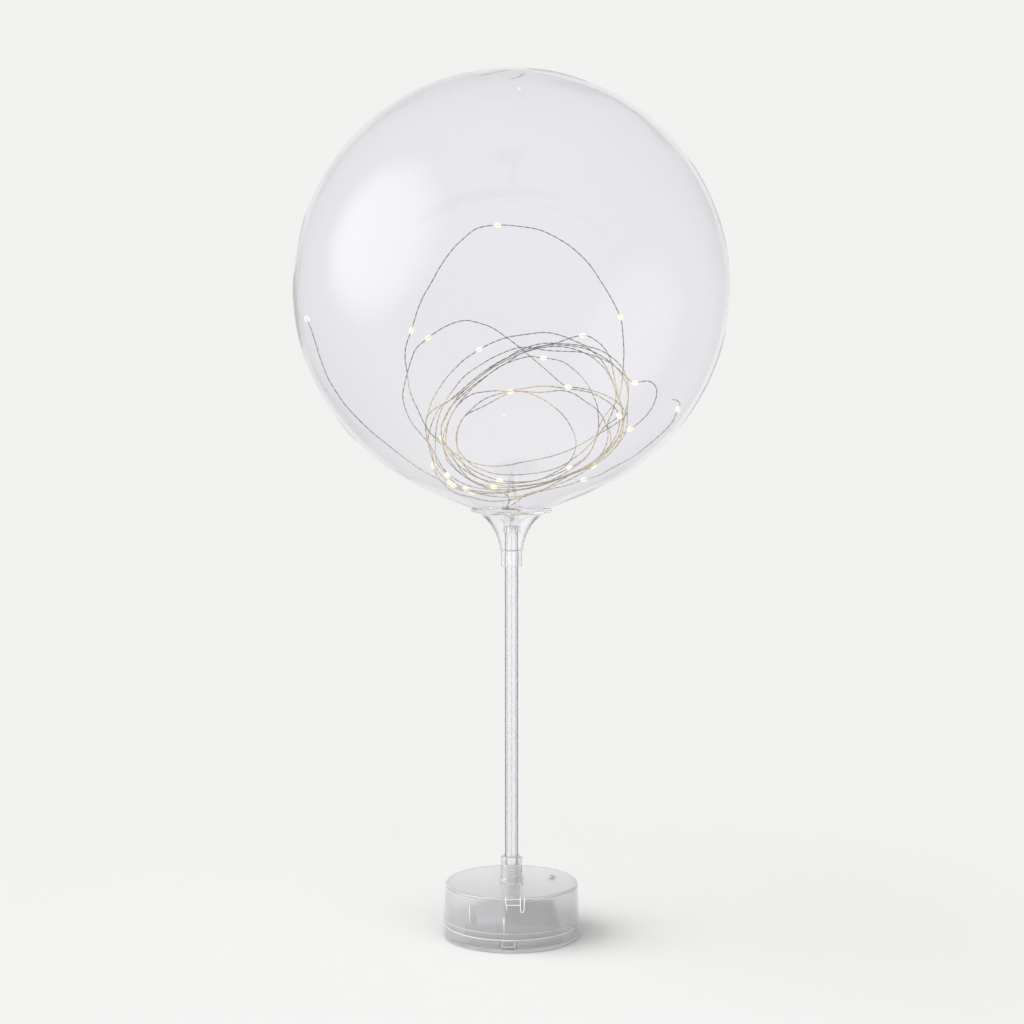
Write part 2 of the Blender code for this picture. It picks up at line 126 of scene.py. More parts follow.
BIG_LOOP = ((450, 450), (441, 441), (434, 436), (427.5, 430), (418.4, 411), (411.5, 396), (408.8, 386.5),
            (406.9, 371), (405, 357), (406.5, 344), (411.5, 330), (416.5, 313), (422.5, 298), (430, 285),
            (440, 267), (452, 250), (464, 238), (478, 228), (499, 225), (520, 226.5), (540, 230),
            (559, 239), (575, 250), (589, 264), (600, 280), (610, 296), (617.3, 310), (621.4, 321),
            (623, 335.5), (624, 353), (623, 371), (621.4, 386.5), (619.4, 396.7), (612, 407), (604, 417),
            (598, 430), (595, 442))
SECOND_LOOP = ((626.5, 415), (620.4, 405.5), (612.2, 398.8), (602, 393.7), (591.8, 390.6), (576.5, 387.6),
               (567.3, 387), (560.2, 382.4), (543.9, 368), (529.6, 356), (517.3, 345.7), (505.6, 336.8),
               (493.3, 328.4), (484, 324.5), (475, 322), (465.8, 320.3), (453.6, 323), (440.6, 329),
               (426.8, 339), (416.5, 348), (412.6, 356), (408.4, 369), (405, 382), (402.7, 395.7),
               (404.6, 406.4), (408.4, 417), (413.3, 425), (420.7, 434), (430, 445))
INNER_RING = ((604.7, 426.8), (598, 436), (591.3, 443), (584, 450.5), (575, 457.4), (563.6, 465),
              (548.3, 470.8), (529, 474), (510, 475), (491, 473), (473, 465.5), (466.3, 459.7),
              (461.4, 454), (457.2, 446.4), (456, 437.3), (458, 428), (463, 418), (470.5, 412.4),
              (483, 406.6), (503, 395.7))
KNOT_RIGHT = ((512, 391.5), (521, 391.5), (530.6, 393.7), (544, 400), (556, 408.6), (564.5, 417),
              (570.3, 425.8), (575, 436.4), (576, 446), (573, 456), (566, 465.5), (552, 474))
CHORD_RIGHT = ((457, 441), (458, 430), (462.7, 419), (467.3, 413.3), (480.3, 401.8), (490.3, 396.5),
               (503, 393), (512, 390.5), (521, 389), (530.6, 387.3), (542.9, 386), (556, 387),
               (567.3, 388.8), (576.5, 389.8), (591.8, 393), (602, 398), (612, 405), (619, 415))
CHORD_LEFT = ((602, 416), (595, 408), (584.7, 401), (573.5, 393.5), (561, 390.5), (549, 391.8),
              (535.7, 392.4), (522, 391.3), (511, 392), (497, 390.8), (484, 392), (473.5, 393.8),
              (463, 400), (453.5, 411), (448, 424), (446, 437))
SHORT_ARCH = ((591.3, 450), (595, 442), (598.5, 430), (598, 412), (596, 402), (590.8, 390.6),
              (583.7, 379.4), (574.5, 370), (563.3, 362), (552, 359), (541.8, 358), (529.6, 356.5),
              (515.3, 360), (500, 366.5), (485, 377.5), (470, 390.5), (458, 404.5), (450, 418), (445, 431),
              (443, 440))
SIDE_LOOP = ((632.5, 427.8), (639.8, 422), (647, 415), (652, 408), (655.5, 400), (657, 392.7), (656, 387),
             (653, 383.3), (648, 381), (639.8, 382.2), (633.7, 383), (626.5, 377.3), (617.3, 368),
             (607, 361), (594, 356), (581.6, 352.3), (565, 351.3), (548, 350.5), (533, 348),
             (519.4, 347.5))
LEFT_RISE = ((510, 499), (504, 493.5), (493, 490), (479, 485), (465, 477), (453, 465), (444.5, 450))
RIGHT_RISE = ((519, 499.5), (525, 494.5), (537, 491), (553, 486.5), (572, 478.5), (592, 467), (609, 454.5),
              (621.5, 440))
FIRST_FOOT = ((538, 480), (519, 482), (500, 480.5), (483, 475), (468, 467), (455, 456), (446, 445))
SECOND_FOOT = ((621, 430), (614, 445), (601, 458), (585, 468.5), (566, 476.5), (545, 482), (522, 485.5),
               (500, 485), (482, 479.5), (468, 470), (459, 456))
THIRD_FOOT = ((618, 431), (609, 447), (594, 461), (576, 472), (556, 480.5), (535, 487), (512, 490),
              (490, 488), (471, 480), (458, 466))
LAST_FOOT_LEFT = ((587, 457), (573, 468), (556, 478), (536, 486), (513, 491.5), (491, 493.5), (470, 492),
                  (453, 487), (437.3, 478.8))
OUTER_FOOT = ((432, 452), (433.2, 460), (433.6, 466.5), (436.5, 474.6), (441.5, 482), (449.8, 489.6),
              (458, 493.7), (471.3, 496.6), (482.9, 499.5), (495.4, 500.7), (507.8, 499.5), (520.2, 497),
              (530, 494.5), (543.5, 489.5), (563, 479), (581.8, 469), (594, 463), (603.8, 456),
              (610.5, 446), (610.5, 434.4), (607.6, 424))
MIDDLE_FOOT = ((446.4, 448), (451.4, 456.4), (458, 464.7), (466.3, 471.3), (476.3, 477), (490, 481.3),
               (508, 483.4), (528, 482), (551, 476), (570, 467.7), (584, 458.5))
UPPER_FOOT = ((447.3, 446.4), (453.9, 453), (464, 459), (478, 464.2), (494, 466.3), (510, 465),
              (519.6, 462.7), (538.7, 459.3), (557.8, 454.5), (572, 449), (586, 441.5), (600, 433.5),
              (614, 425))
BACK_FOOT = ((437, 458), (446, 472), (460, 482), (478, 488), (500, 490), (524, 488.5), (545, 483.5),
             (563, 476.5), (582, 468.5), (600, 457), (612, 445.5), (621, 435))
LAST_FOOT_RIGHT = ((456, 484), (470, 490.5), (487, 495), (507, 496.5), (526, 494.8), (543.5, 490.5),
                   (567, 485.3))
LEFT_ARC = ((441, 444), (434, 437), (429, 431), (425.5, 424.5), (426.5, 419), (430, 413), (436.5, 407.5),
            (446.5, 402.5), (456, 395), (468, 384.5), (482, 373), (497, 363), (514, 354.5), (530, 348.5),
            (548, 345.2), (566, 345.3), (583, 348), (596, 353), (607, 359.5), (615, 366), (621, 373.5),
            (626, 383), (628.3, 394), (627.6, 404), (625.5, 412), (624, 420))
RIGHT_SWEEP = ((622.5, 432), (617, 445), (606, 457), (590, 467), (570, 475), (548, 481.5), (525, 486),
               (502, 487.5), (481, 484), (464, 476), (452, 466), (445.5, 456))
OVER_LEFT = ((614, 408), (616, 393), (611, 379), (604, 368), (594, 358.5), (580, 351), (563, 346.8),
             (545, 347.2), (527, 351.5), (510, 358.5), (494, 367), (479, 377.5), (466, 388.5), (454, 398),
             (441.5, 406), (437, 412), (433, 420), (430.5, 428), (428.5, 436), (428, 441), (429.5, 450),
             (432, 458), (435, 466), (440, 474), (447, 481), (457, 487), (470, 490), (490, 492),
             (512, 491), (535, 487), (556, 480), (576, 471.5), (594, 461), (605, 448), (608, 432))
LEFT_END = ((424, 471.5), (412, 463.6), (403, 457), (394, 450), (382, 440.5), (370, 430.6), (359, 420),
            (349, 409.6), (341, 399.5), (334, 388.7), (329, 380.5), (325, 371.5), (320, 358), (316, 345),
            (311.5, 331), (307.5, 321), (304, 314))
RIGHT_END = ((580.8, 480.6), (591.3, 478), (601, 474.5), (610.5, 469), (624.8, 461.5), (637.3, 454),
             (645, 447.8), (651.5, 442.5), (659, 436), (667, 428.5), (673.5, 420), (677, 411.5),
             (680, 406), (679.5, 402), (676, 400), (670, 399.3))
LEFT_STRING = (
    (LEFT_RISE, -7, 0.30), (BUNDLE_UP, -20, LEAN), (INNER_RING, -17, LEAN), (KNOT_RIGHT, -18, LEAN),
    (FIRST_FOOT, -18, 0.40), (LEFT_ARC, -20, LEAN), (RIGHT_SWEEP, -19, 0.42), (BUNDLE_BEAD, -22, LEAN),
    (SECOND_FOOT, -23, 0.42), (CHORD_RIGHT, -21, 0.46), (THIRD_FOOT, -15, 0.42), (BIG_LOOP, -12, 0.18),
    (LAST_FOOT_LEFT, -17, 0.20), (LEFT_END, -12, 0.10))
RIGHT_STRING = (
    (RIGHT_RISE, -6, 0.30), (TOP_ARCH, -18, 0.44), (OUTER_FOOT, -19, 0.42), (OVER_LEFT, -23, 0.46),
    (CHORD_LEFT, -19, LEAN), (MIDDLE_FOOT, -20, 0.44), (SHORT_ARCH, -22, LEAN), (UPPER_FOOT, -16, 0.46),
    (SECOND_LOOP, -19, 0.40), (BACK_FOOT, -13, 0.44), (SIDE_LOOP, -20, 0.45), (BUNDLE_DOWN, -24, LEAN),
    (LAST_FOOT_RIGHT, -22, 0.25), (RIGHT_END, -12, 0.10))
LEFT_EXIT = ((0, 0, 0), (-0.0003, -0.0002, 0.0018))
RIGHT_EXIT = ((0.0008, 0.0004, 0), (0.0010, 0.0004, 0.0026))
# The one turn that each string makes in the neck, opening as it leaves the pole, from this angle in degrees
LEFT_SWING = 218
RIGHT_SWING = 240
TURN_POINTS = 12
TURN_OPENING = 4
TURN_RADIUS = 0.0056
TURN_LIFT = 0.0028
TURN_RISE = 0.0030

# Lamps, by the pixels where the photograph shows them
LAMPS_PX = ((499, 225), (304, 314), (411.5, 330), (426.8, 339), (620, 317), (480, 349), (582.7, 336.5),
            (541.8, 358), (633.7, 383.5), (567.3, 387.6), (511, 391), (620.4, 416), (629.6, 427.8),
            (678, 410), (440.6, 439), (445.6, 474.6), (449.8, 481), (453, 484.6), (471.3, 491.6),
            (493.7, 485.4), (501.2, 481.7), (584.6, 484.2), (595.6, 469.4), (567.4, 468), (513, 514),
            (431, 465), (467, 489))

# A lamp's outline, by shares of its half length and half width
LAMP_SHAPE = ((-1.0, 0.0), (-0.92, 0.24), (-0.72, 0.55), (-0.42, 0.86), (0.0, 1.0), (0.42, 0.86),
              (0.72, 0.55), (0.92, 0.24), (1.0, 0.0))

# The ball's film, its weld at the top, and the neck that is gathered round the pole's end
NECK_GAP = 0.0009
GRIP_LENGTH = 0.0045
FOLD_COUNT = 13
FOLD_HEIGHT = 0.022
PUCKER_COUNT = 9
PUCKER_RADIUS = 0.012
PUCKER_REACH = 0.045
PUCKER_DEPTH = 0.00030
CREASE_RADIUS = 0.00042
CREASE_STEP = 0.0005
# Radius of the white specks that are painted highlights on the film
GLINT_SPECK_RADIUS = 0.0006
WELD_PX = (((512.0, 78.6), (515.5, 77.6), (519.5, 76.0), (522.5, 74.2), (524.6, 73.4)),
           ((502.5, 70.6), (505.5, 70.3), (508.5, 70.2), (511.5, 70.2)))
# Painted highlights: white specks on the film where glints show, by their pixels
GLINT_SPECKS_PX = ((519.5, 88.6), (504.0, 415.8))

# Trumpet cup: its rim, the flare under it and the sleeve on the pole
RIM_WIDTH = 0.0027
RIM_HEIGHT = 0.0014
FLARE_DEPTH = 0.0256
FLARE_LENGTH = 0.0100
SLEEVE_RADIUS = 0.0064
CUP_ROUND = 0.0004

# Pole, coupling nut, and the boss that the nut screws on
POLE_ROUND = 0.0003
NUT_RADIUS = 0.0066
NUT_ROUND = 0.0010
FLANGE_HEIGHT = 0.0026
FLANGE_ROUND = 0.0004
FLANGE_FILLET = 0.0003
NUT_SHOULDER = 0.0110
BOSS_RADIUS = 0.0049
BOSS_HEIGHT = 0.0110
BOSS_ROUND = 0.0004
BOSS_FILLET = 0.0003
THREAD_TURNS = 4.6
THREAD_SINK = 0.00012
THREAD_HEIGHT = 0.0096
THREAD_START = 0.0007
THREAD_RADIUS = 0.00036

# Battery base: the height of the cover's wall, whose tray stands higher, and of the housing on it
COVER_TOP = 0.0077
COVER_FLOOR = 0.0022
JOINT_ROUND = 0.0003
COVER_FILLET = 0.0005
FOOT_ROUND = 0.0007
HOUSING_Z = COVER_TOP + FIT
HOUSING_WALL = 0.0018
SCREW_LENGTH = 0.0060
BASE_TOP = SCREW_LOW.z + SCREW_LENGTH - FIT
TOP_ROUND = 0.0014
TOP_WALL = 0.0020
WALL_DRAFT = 0.0010
WIRE_BORE = 0.0026
GUIDE_RADIUS = 0.0042
GUIDE_DEPTH = 0.0070
SCREW_BORE = 0.0014
BAND_HEIGHT = 0.0038
BAND_STEP = 0.0004
LIP_HEIGHT = 0.0032
LIP_WALL = 0.0012
CATCH_X = -0.0020
CATCH_HALF = 0.0046
CATCH_LIFT = 0.0005
CATCH_STEP = 0.0016
CATCH_PLAY = 0.0005
GROOVE_HALF = 0.0028
GROOVE_RISE = 0.00055
GROOVE_DEPTH = 0.0008
TRAY_X = 0.0013
TRAY_WALL = 0.0012
TRAY_TOP = COVER_HIGH.z
# How far a cutting block reaches past the face that it cuts
CUT_PAST = 0.004

# Moulded ribs on the front of the housing and round the catch, by the photograph's pixels
RIB_RADIUS = 0.00024
FAINT_RIB_RADIUS = 0.00018
RIB_DISTANCE = FOOT_RADIUS - 0.0008
RIB_STEP = 0.0004
WALL_RIBS_PX = (
    ((505.8, 896.8), (505.8, 901), (506, 905), (507.3, 910.5)),
    ((505.9, 905.2), (513, 905.4), (520.3, 905.2)),
    ((520.3, 897.2), (520.3, 903), (520.5, 908), (521.1, 912), (523.5, 912), (524.1, 908), (524.3, 903),
     (524.3, 897.2)),
)
CATCH_RIBS_PX = (
    ((501.0, 940.2), (501.0, 945), (501.3, 950), (502.2, 950.4)),
    ((515.5, 940.2), (515.4, 945), (515.2, 950), (514.2, 950.4)),
    ((502.9, 941), (508.5, 941.2), (513.8, 941)),
    ((502.9, 941), (502.9, 946.6), (508.5, 947), (513.8, 946.6), (513.8, 941)),
)
FAINT_RIBS_PX = (
    ((504.2, 918.5), (504.3, 926), (504.4, 935)),
    ((503.2, 918.5), (503.3, 926), (503.4, 935)),
    ((469.6, 905), (469.8, 915), (470, 925)),
)
# Painted highlights: white edges that run round the base, at its band, joint and top: radius and height
EDGE_RADIUS = 0.00016
HIGHLIGHT_RINGS = (
    ("band_edge", FOOT_RADIUS - 0.0002, HOUSING_Z + BAND_HEIGHT),
    ("joint_edge", FOOT_RADIUS - 0.0001, HOUSING_Z - 0.0001),
    ("top_edge", FOOT_RADIUS - 0.0019, BASE_TOP - 0.0005),
)

# Cells: the nub, the shoulder round it, and the groove and foot of the wrap
NUB_HEIGHT = 0.0013
NUB_RADIUS = 0.0027
NUB_ROUND = 0.0003
END_RADIUS = 0.0046
WRAP_SHOULDER = 0.0008
WRAP_GROOVE = (0.0022, 0.0025, 0.0028)
GROOVE_SINK = 0.00012
WRAP_FOOT = 0.0006

# Contact plates, their springs, and the lead from the left plate over the cells and up the pole
PLATE_THICKNESS = 0.0006
PLATE_CORNER = 0.0020
PLATE_EDGE = 0.00012
SPRING_TURNS = 3.6
SPRING_FOOT = 0.0044
SPRING_TOP = 0.0026
SPRING_WIRE = 0.00035
LEAD_STRAND = 0.00018
LEAD_OFFSET = 0.00020
LEAD_TWIST = 0.0120
LEAD_STEP = 0.0009
LEAD_ROUTE_STEP = 0.0015
LEAD_START = (0.0007, 0.0042, 0.0160)
LEAD_RISE = (0.0018, 0, 0.0019)
# The lead's way to the middle, by shares of its start's distance with heights, and its heights up the pole
LEAD_OVER_CELLS = ((0.78, 0.0193), (0.50, 0.0193), (0.30, 0.0194), (0.14, 0.0204), (0.04, 0.0226))
LEAD_UP = (0.0263, 0.0335, 0.0446, POLE_LOW.z + 0.1067)

# Turned pieces are drawn round a circle of this radius
TURN_PATH = 0.05

# Colours of the finishes that vary between two: light, dark
# Painted highlight: near white for the ribs, rings and film specks that stand for glints
PAINTED_HIGHLIGHT_WHITE = ((0.97, 0.97, 0.985), (0.94, 0.94, 0.96))
SILVER_WRAP = ((0.56, 0.57, 0.63), (0.49, 0.50, 0.57))
GREY_WRAP = ((0.085, 0.085, 0.095), (0.11, 0.11, 0.12))
CONTACT_STEEL = ((0.66, 0.65, 0.62), (0.55, 0.54, 0.50))
SCREW_STEEL = ((0.92, 0.92, 0.94), (0.80, 0.80, 0.82))
LEAD_COPPER = ((0.84, 0.81, 0.76), (0.72, 0.68, 0.62))


class Link:
    """An output socket that takes part in plain arithmetic, where each step adds a Math node."""

    def __init__(self, nodes, socket):
        self.nodes = nodes
        self.socket = socket

    def other(self, name):
        return Link(self.nodes, self.socket.node.outputs[name])

    def step(self, operation, first, second=0.0):
        return self.nodes.add("ShaderNodeMath", {"operation": operation}, {0: first, 1: second})

    def __add__(self, value):
        return self.step("ADD", self, value)

    def __radd__(self, value):
        return self.step("ADD", value, self)

    def __sub__(self, value):
        return self.step("SUBTRACT", self, value)

    def __rsub__(self, value):
        return self.step("SUBTRACT", value, self)

    def __mul__(self, value):
        return self.step("MULTIPLY", self, value)

    def __rmul__(self, value):
        return self.step("MULTIPLY", value, self)

    def __truediv__(self, value):
        return self.step("DIVIDE", self, value)

    def __abs__(self):
        return self.step("ABSOLUTE", self)

    def over(self, low, high, start=0.0, end=1.0):
        """A soft step from start to end as the value goes from low to high."""
        return self.nodes.add("ShaderNodeMapRange", {"interpolation_type": "SMOOTHSTEP"},
                              {0: self, 1: low, 2: high, 3: start, 4: end})


class Nodes:
    """A node tree that is written one call at a time."""

    def __init__(self, tree):
        self.tree = tree

    def add(self, kind, settings=None, inputs=None, output=0):
        node = self.tree.nodes.new(kind)
        for name, value in (settings or {}).items():
            setattr(node, name, value)
        for key, value in (inputs or {}).items():
            for one in value if isinstance(value, list) else [value]:
                if isinstance(one, Link):
                    self.tree.links.new(one.socket, node.inputs[key])
                else:
                    node.inputs[key].default_value = one
        return Link(self, node.outputs[output]) if node.outputs else node

    def place(self):
        """Object coordinates, which are metres in the part's frame for every finished piece."""
        return self.add("ShaderNodeTexCoord", output="Object")

    def split(self, vector):
        parts = self.add("ShaderNodeSeparateXYZ", None, {0: vector})
        return parts, parts.other("Y"), parts.other("Z")

    def stretched(self, vector, scale):
        return self.add("ShaderNodeMapping", None, {"Vector": vector, "Scale": scale})

    def grain(self, vector, scale, detail=3.0):
        return self.add("ShaderNodeTexNoise", None, {"Vector": vector, "Scale": scale, "Detail": detail})

    def blend(self, share, first, second):
        """A colour between two, either of which is plain numbers or a link."""
        colours = [one if isinstance(one, Link) else (*one, 1.0) for one in (first, second)]
        return self.add("ShaderNodeMix", {"data_type": "RGBA"}, {0: share, 6: colours[0], 7: colours[1]}, 2)

    def relief(self, height, depth):
        return self.add("ShaderNodeBump", None, {"Height": height, "Distance": depth, "Strength": 1.0})


def new_finish(name):
    """An empty material and its nodes."""
    material = bpy.data.materials.new(name)
    material.use_nodes = True
    material.node_tree.nodes.clear()
    return material, Nodes(material.node_tree)


def finish_with(nodes, shader):
    nodes.add("ShaderNodeOutputMaterial", None, {"Surface": shader})


def surfaced(material, nodes, inputs):
    """The material, ended by a Principled shader with these inputs."""
    finish_with(nodes, nodes.add("ShaderNodeBsdfPrincipled", None, inputs))
    return material


def clear_plastic(name, tint, roughness, milk, grain_scale, coat=0.0, outline=None, below=None):
    """See-through plastic: a tint that clouds a little from place to place, and a share of milky white.

    Painted shade: the colour darkens where the wall is seen edge on, from the first to the second share of
    outline, and, when below is given, only under that height.
    """
    material, nodes = new_finish(name)
    place = nodes.place()
    cloud = nodes.grain(place, grain_scale).over(0.35, 0.7)
    colour = nodes.blend(cloud, tint, [channel * 0.98 for channel in tint])
    if outline:
        # Painted shade: a darker colour where the wall is seen edge on
        painted_edge_shade = nodes.add("ShaderNodeLayerWeight", None, {"Blend": 0.5}, "Facing").over(*outline)
        if below:
            height = nodes.split(place)[2]
            painted_edge_shade = painted_edge_shade * height.over(below, below - 0.003)
        colour = nodes.blend(painted_edge_shade, colour, [channel * 0.08 for channel in tint])
    return surfaced(material, nodes, {
        "Base Color": colour,
        "Roughness": roughness,
        "IOR": 1.47,
        "Transmission Weight": 1.0 - milk,
        "Coat Weight": coat,
        "Coat Roughness": 0.03,
    })


def painted_highlight_finish():
    """The thin moulded edges and the film's specks, whiter than the plastic that they stand on: painted
    highlight for the glints along them.
    """
    material, nodes = new_finish("rib_plastic")
    fleck = nodes.grain(nodes.place(), 500.0, 1.0).over(0.3, 0.7)
    return surfaced(material, nodes, {
        "Base Color": nodes.blend(fleck, *PAINTED_HIGHLIGHT_WHITE),
        "Roughness": 0.22,
        "Coat Weight": 0.5,
        "Coat Roughness": 0.05,
    })


def film_finish(settings):
    """Stretch film: clear, very glossy, with a faint cool tint that varies with the stretch."""
    material, nodes = new_finish("film")
    place = nodes.place()
    cloud = nodes.grain(place, 9.0, 2.0).over(0.3, 0.7)
    wave = nodes.grain(place, 14.0, 1.0)
    return surfaced(material, nodes, {
        "Base Color": nodes.blend(cloud, settings.tint, settings.thick_tint),
        "Roughness": settings.gloss,
        "IOR": settings.bend,
        "Transmission Weight": 1.0,
        "Normal": nodes.relief(wave, 0.0009),
    })


def lacquered_wire(name, light, dark, painted_lamp_light=None):
    """Lacquered copper: bright where it is bare, browner where the lacquer is thick, and with painted lamp
    light, a warmer colour in patches low in the middle of the ball.
    """
    material, nodes = new_finish(name)
    place = nodes.place()
    coat = nodes.grain(place, 420.0, 2.0).over(0.35, 0.65)
    dull = nodes.grain(place, 1300.0, 2.0).over(0.2, 0.8, 0.28, 0.46)
    colour = nodes.blend(coat, light, dark)
    if painted_lamp_light:
        # Painted lamp light: the wire turns warmer low in the middle of the ball, more in patches
        across, _, height = nodes.split(place)
        low = height.over(BALL_Z - 0.034, BALL_Z - 0.062)
        painted_light_patches = nodes.grain(place, 38.0, 1.0).over(0.38, 0.60)
        colour = nodes.blend(low * abs(across).over(0.085, 0.070) * (0.22 + 0.78 * painted_light_patches), colour, painted_lamp_light)
    return surfaced(material, nodes, {
        "Base Color": colour,
        "Metallic": 0.35,
        "Roughness": dull,
    })


def plated_steel(name, light, dark, grain_scale=900.0):
    """Plated steel with fine drawn lines."""
    material, nodes = new_finish(name)
    place = nodes.place()
    lines = nodes.grain(nodes.stretched(place, (1.0, 1.0, 0.08)), grain_scale, 2.0)
    return surfaced(material, nodes, {
        "Base Color": nodes.blend(lines.over(0.3, 0.7), light, dark),
        "Metallic": 1.0,
        "Roughness": lines.over(0.2, 0.8, 0.16, 0.34),
        "Normal": nodes.relief(lines, 0.00001),
    })


def lamp_resin(settings):
    """Clear resin over a warm lamp: paler at its skin, warm and glowing over the chip."""
    material, nodes = new_finish("lamp_resin")
    place = nodes.place()
    cloud = nodes.grain(place, 700.0, 1.0).over(0.3, 0.7)
    return surfaced(material, nodes, {
        "Base Color": nodes.blend(cloud, settings.resin, settings.resin_warm),
        "Roughness": 0.12,
        "IOR": 1.5,
        "Transmission Weight": 0.55,
        "Emission Color": nodes.blend(cloud, settings.glow_colour, settings.resin_warm),
        "Emission Strength": settings.glow,
    })


def cell_finish(settings):
    """Unmarked cell wrap: silvery at one end, dark grey at the other."""
    material, nodes = new_finish("cell_wrap")
    place = nodes.place()
    x = nodes.split(place)[0]
    change = x.over(settings.wrap_change - 0.0003, settings.wrap_change + 0.0003)
    fleck = nodes.grain(nodes.stretched(place, (0.12, 1.0, 1.0)), 900.0, 2.0).over(0.3, 0.7)
    silver = nodes.blend(fleck, *SILVER_WRAP)
    grey = nodes.blend(fleck, *GREY_WRAP)
    return surfaced(material, nodes, {
        "Base Color": nodes.blend(change, silver, grey),
        "Metallic": change.over(0.0, 1.0, 0.55, 0.15),
        "Roughness": fleck.over(0.0, 1.0, 0.30, 0.42),
    })


def new_object(name, mesh, material=None):
    item = bpy.data.objects.new(name, mesh)
    if material:
        mesh.materials.append(material)
    bpy.context.scene.collection.objects.link(item)
    return item


def mesh_of(shape, name):
    """A mesh from a bmesh, which is freed."""
    mesh = bpy.data.meshes.new(name)
    shape.to_mesh(mesh)
    shape.free()
    return mesh


def keep_result(item):
    """Makes what the object's modifiers give into its own plain mesh."""
    graph = bpy.context.evaluated_depsgraph_get()
    mesh = bpy.data.meshes.new_from_object(item.evaluated_get(graph))
    item.modifiers.clear()
    old = item.data
    item.data = mesh
    mesh.name = item.name
    bpy.data.meshes.remove(old)
    return item


def smooth_by_angle(item, degrees=35):
    """Smooth faces, with an edge kept sharp where its faces turn by more than the angle."""
    shape = bmesh.new()
    shape.from_mesh(item.data)
    for face in shape.faces:
        face.smooth = True
    for edge in shape.edges:
        edge.smooth = len(edge.link_faces) == 2 and edge.calc_face_angle(0) < math.radians(degrees)
    shape.to_mesh(item.data)
    shape.free()


def dress(item, slot, *nodes, shadow=True):
    """Rides on the part and stands for the nodes that are given; its slot is not used."""
    item.visible_shadow = shadow
    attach(item, BODY)
    if nodes:
        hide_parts(*nodes)


def new_tree(name, inputs):
    """A Geometry Nodes tree with the named inputs, its nodes, and its links by name."""
    tree = bpy.data.node_groups.new(name, "GeometryNodeTree")
    tree.interface.new_socket(name="Geometry", in_out="OUTPUT", socket_type="NodeSocketGeometry")
    tree.interface.new_socket(name="Geometry", in_out="INPUT", socket_type="NodeSocketGeometry")
    for label, kind in inputs.items():
        tree.interface.new_socket(name=label, in_out="INPUT", socket_type="NodeSocket" + kind)
    nodes = Nodes(tree)
    return tree, nodes, nodes.add("NodeGroupInput", output="Geometry")


def end_tree(nodes, geometry, material):
    """Every tree ends alike: smooth faces, real geometry and its material."""
    smooth = nodes.add("GeometryNodeSetShadeSmooth", None, {"Geometry": geometry})
    real = nodes.add("GeometryNodeRealizeInstances", None, {0: smooth})
    finished = nodes.add("GeometryNodeSetMaterial", None, {"Geometry": real, "Material": material})
    nodes.add("NodeGroupOutput", None, {0: finished})


def grow(item, tree, values):
    """Runs a tree on an object with these input values, and keeps the mesh that it gives."""
    modifier = item.modifiers.new(tree.name, "NODES")
    modifier.node_group = tree
    names = {socket.name: socket.identifier for socket in tree.interface.items_tree
             if socket.in_out == "INPUT"}
    for label, value in values.items():
        modifier[names[label]] = value
    item.update_tag()
    return keep_result(item)


def turning_tree():
    """Turns an outline about Z: the outline is drawn as (radius less the path's radius, minus the height)."""
    tree, nodes, given = new_tree("Turned", {"Facets": "Int", "Path radius": "Float", "Material": "Material"})
    outline = nodes.add("GeometryNodeMeshToCurve", None, {0: given})
    path = nodes.add("GeometryNodeCurvePrimitiveCircle", None,
                     {"Resolution": given.other("Facets"), "Radius": given.other("Path radius")})
    level = nodes.add("GeometryNodeSetCurveNormal", {"mode": "Z_UP"}, {"Curve": path})
    skin = nodes.add("GeometryNodeCurveToMesh", None, {"Curve": level, "Profile Curve": outline})
    closed = nodes.add("GeometryNodeMergeByDistance", None, {"Geometry": skin, "Distance": 0.000002})
    end_tree(nodes, closed, given.other("Material"))
    return tree


def turned(name, outline, facets, material, closed=False, sharp=35):
    """A piece turned about Z from an outline of (radius, height) points, with its faces outwards."""
    mesh = bpy.data.meshes.new(name)
    count = len(outline)
    edges = [(i, i + 1) for i in range(count - 1)]
    if closed:
        edges.append((count - 1, 0))
    mesh.from_pydata([(r - TURN_PATH, -z, 0) for r, z in outline], edges, [])
    item = grow(new_object(name, mesh), turning_tree(),
                {"Facets": facets, "Path radius": TURN_PATH, "Material": material})
    face_out(item)
    smooth_by_angle(item, sharp)
    return item


def set_down(item, centre, turn):
    """Turns a piece's points and moves them to where it stands."""
    for vert in item.data.vertices:
        vert.co = centre + Vector(turn(*vert.co))
    face_out(item)


def face_out(item):
    """Turns the faces outwards."""
    shape = bmesh.new()
    shape.from_mesh(item.data)
    bmesh.ops.recalc_face_normals(shape, faces=shape.faces)
    shape.to_mesh(item.data)
    shape.free()


def arc(centre, radius, start, end, count):
    """Points of (radius, height) on a circle, by the angle from outwards towards up, in degrees."""
    angles = [math.radians(start + (end - start) * i / count) for i in range(count + 1)]
    return [(centre[0] + radius * math.cos(a), centre[1] + radius * math.sin(a)) for a in angles]


def bezier(points, count):
    """Points on a cubic curve, without its first one."""
    found = []
    for i in range(1, count + 1):
        t = i / count
        weights = ((1 - t) ** 3, 3 * t * (1 - t) ** 2, 3 * t * t * (1 - t), t ** 3)
        found.append(tuple(sum(w * p[k] for w, p in zip(weights, points)) for k in (0, 1)))
    return found


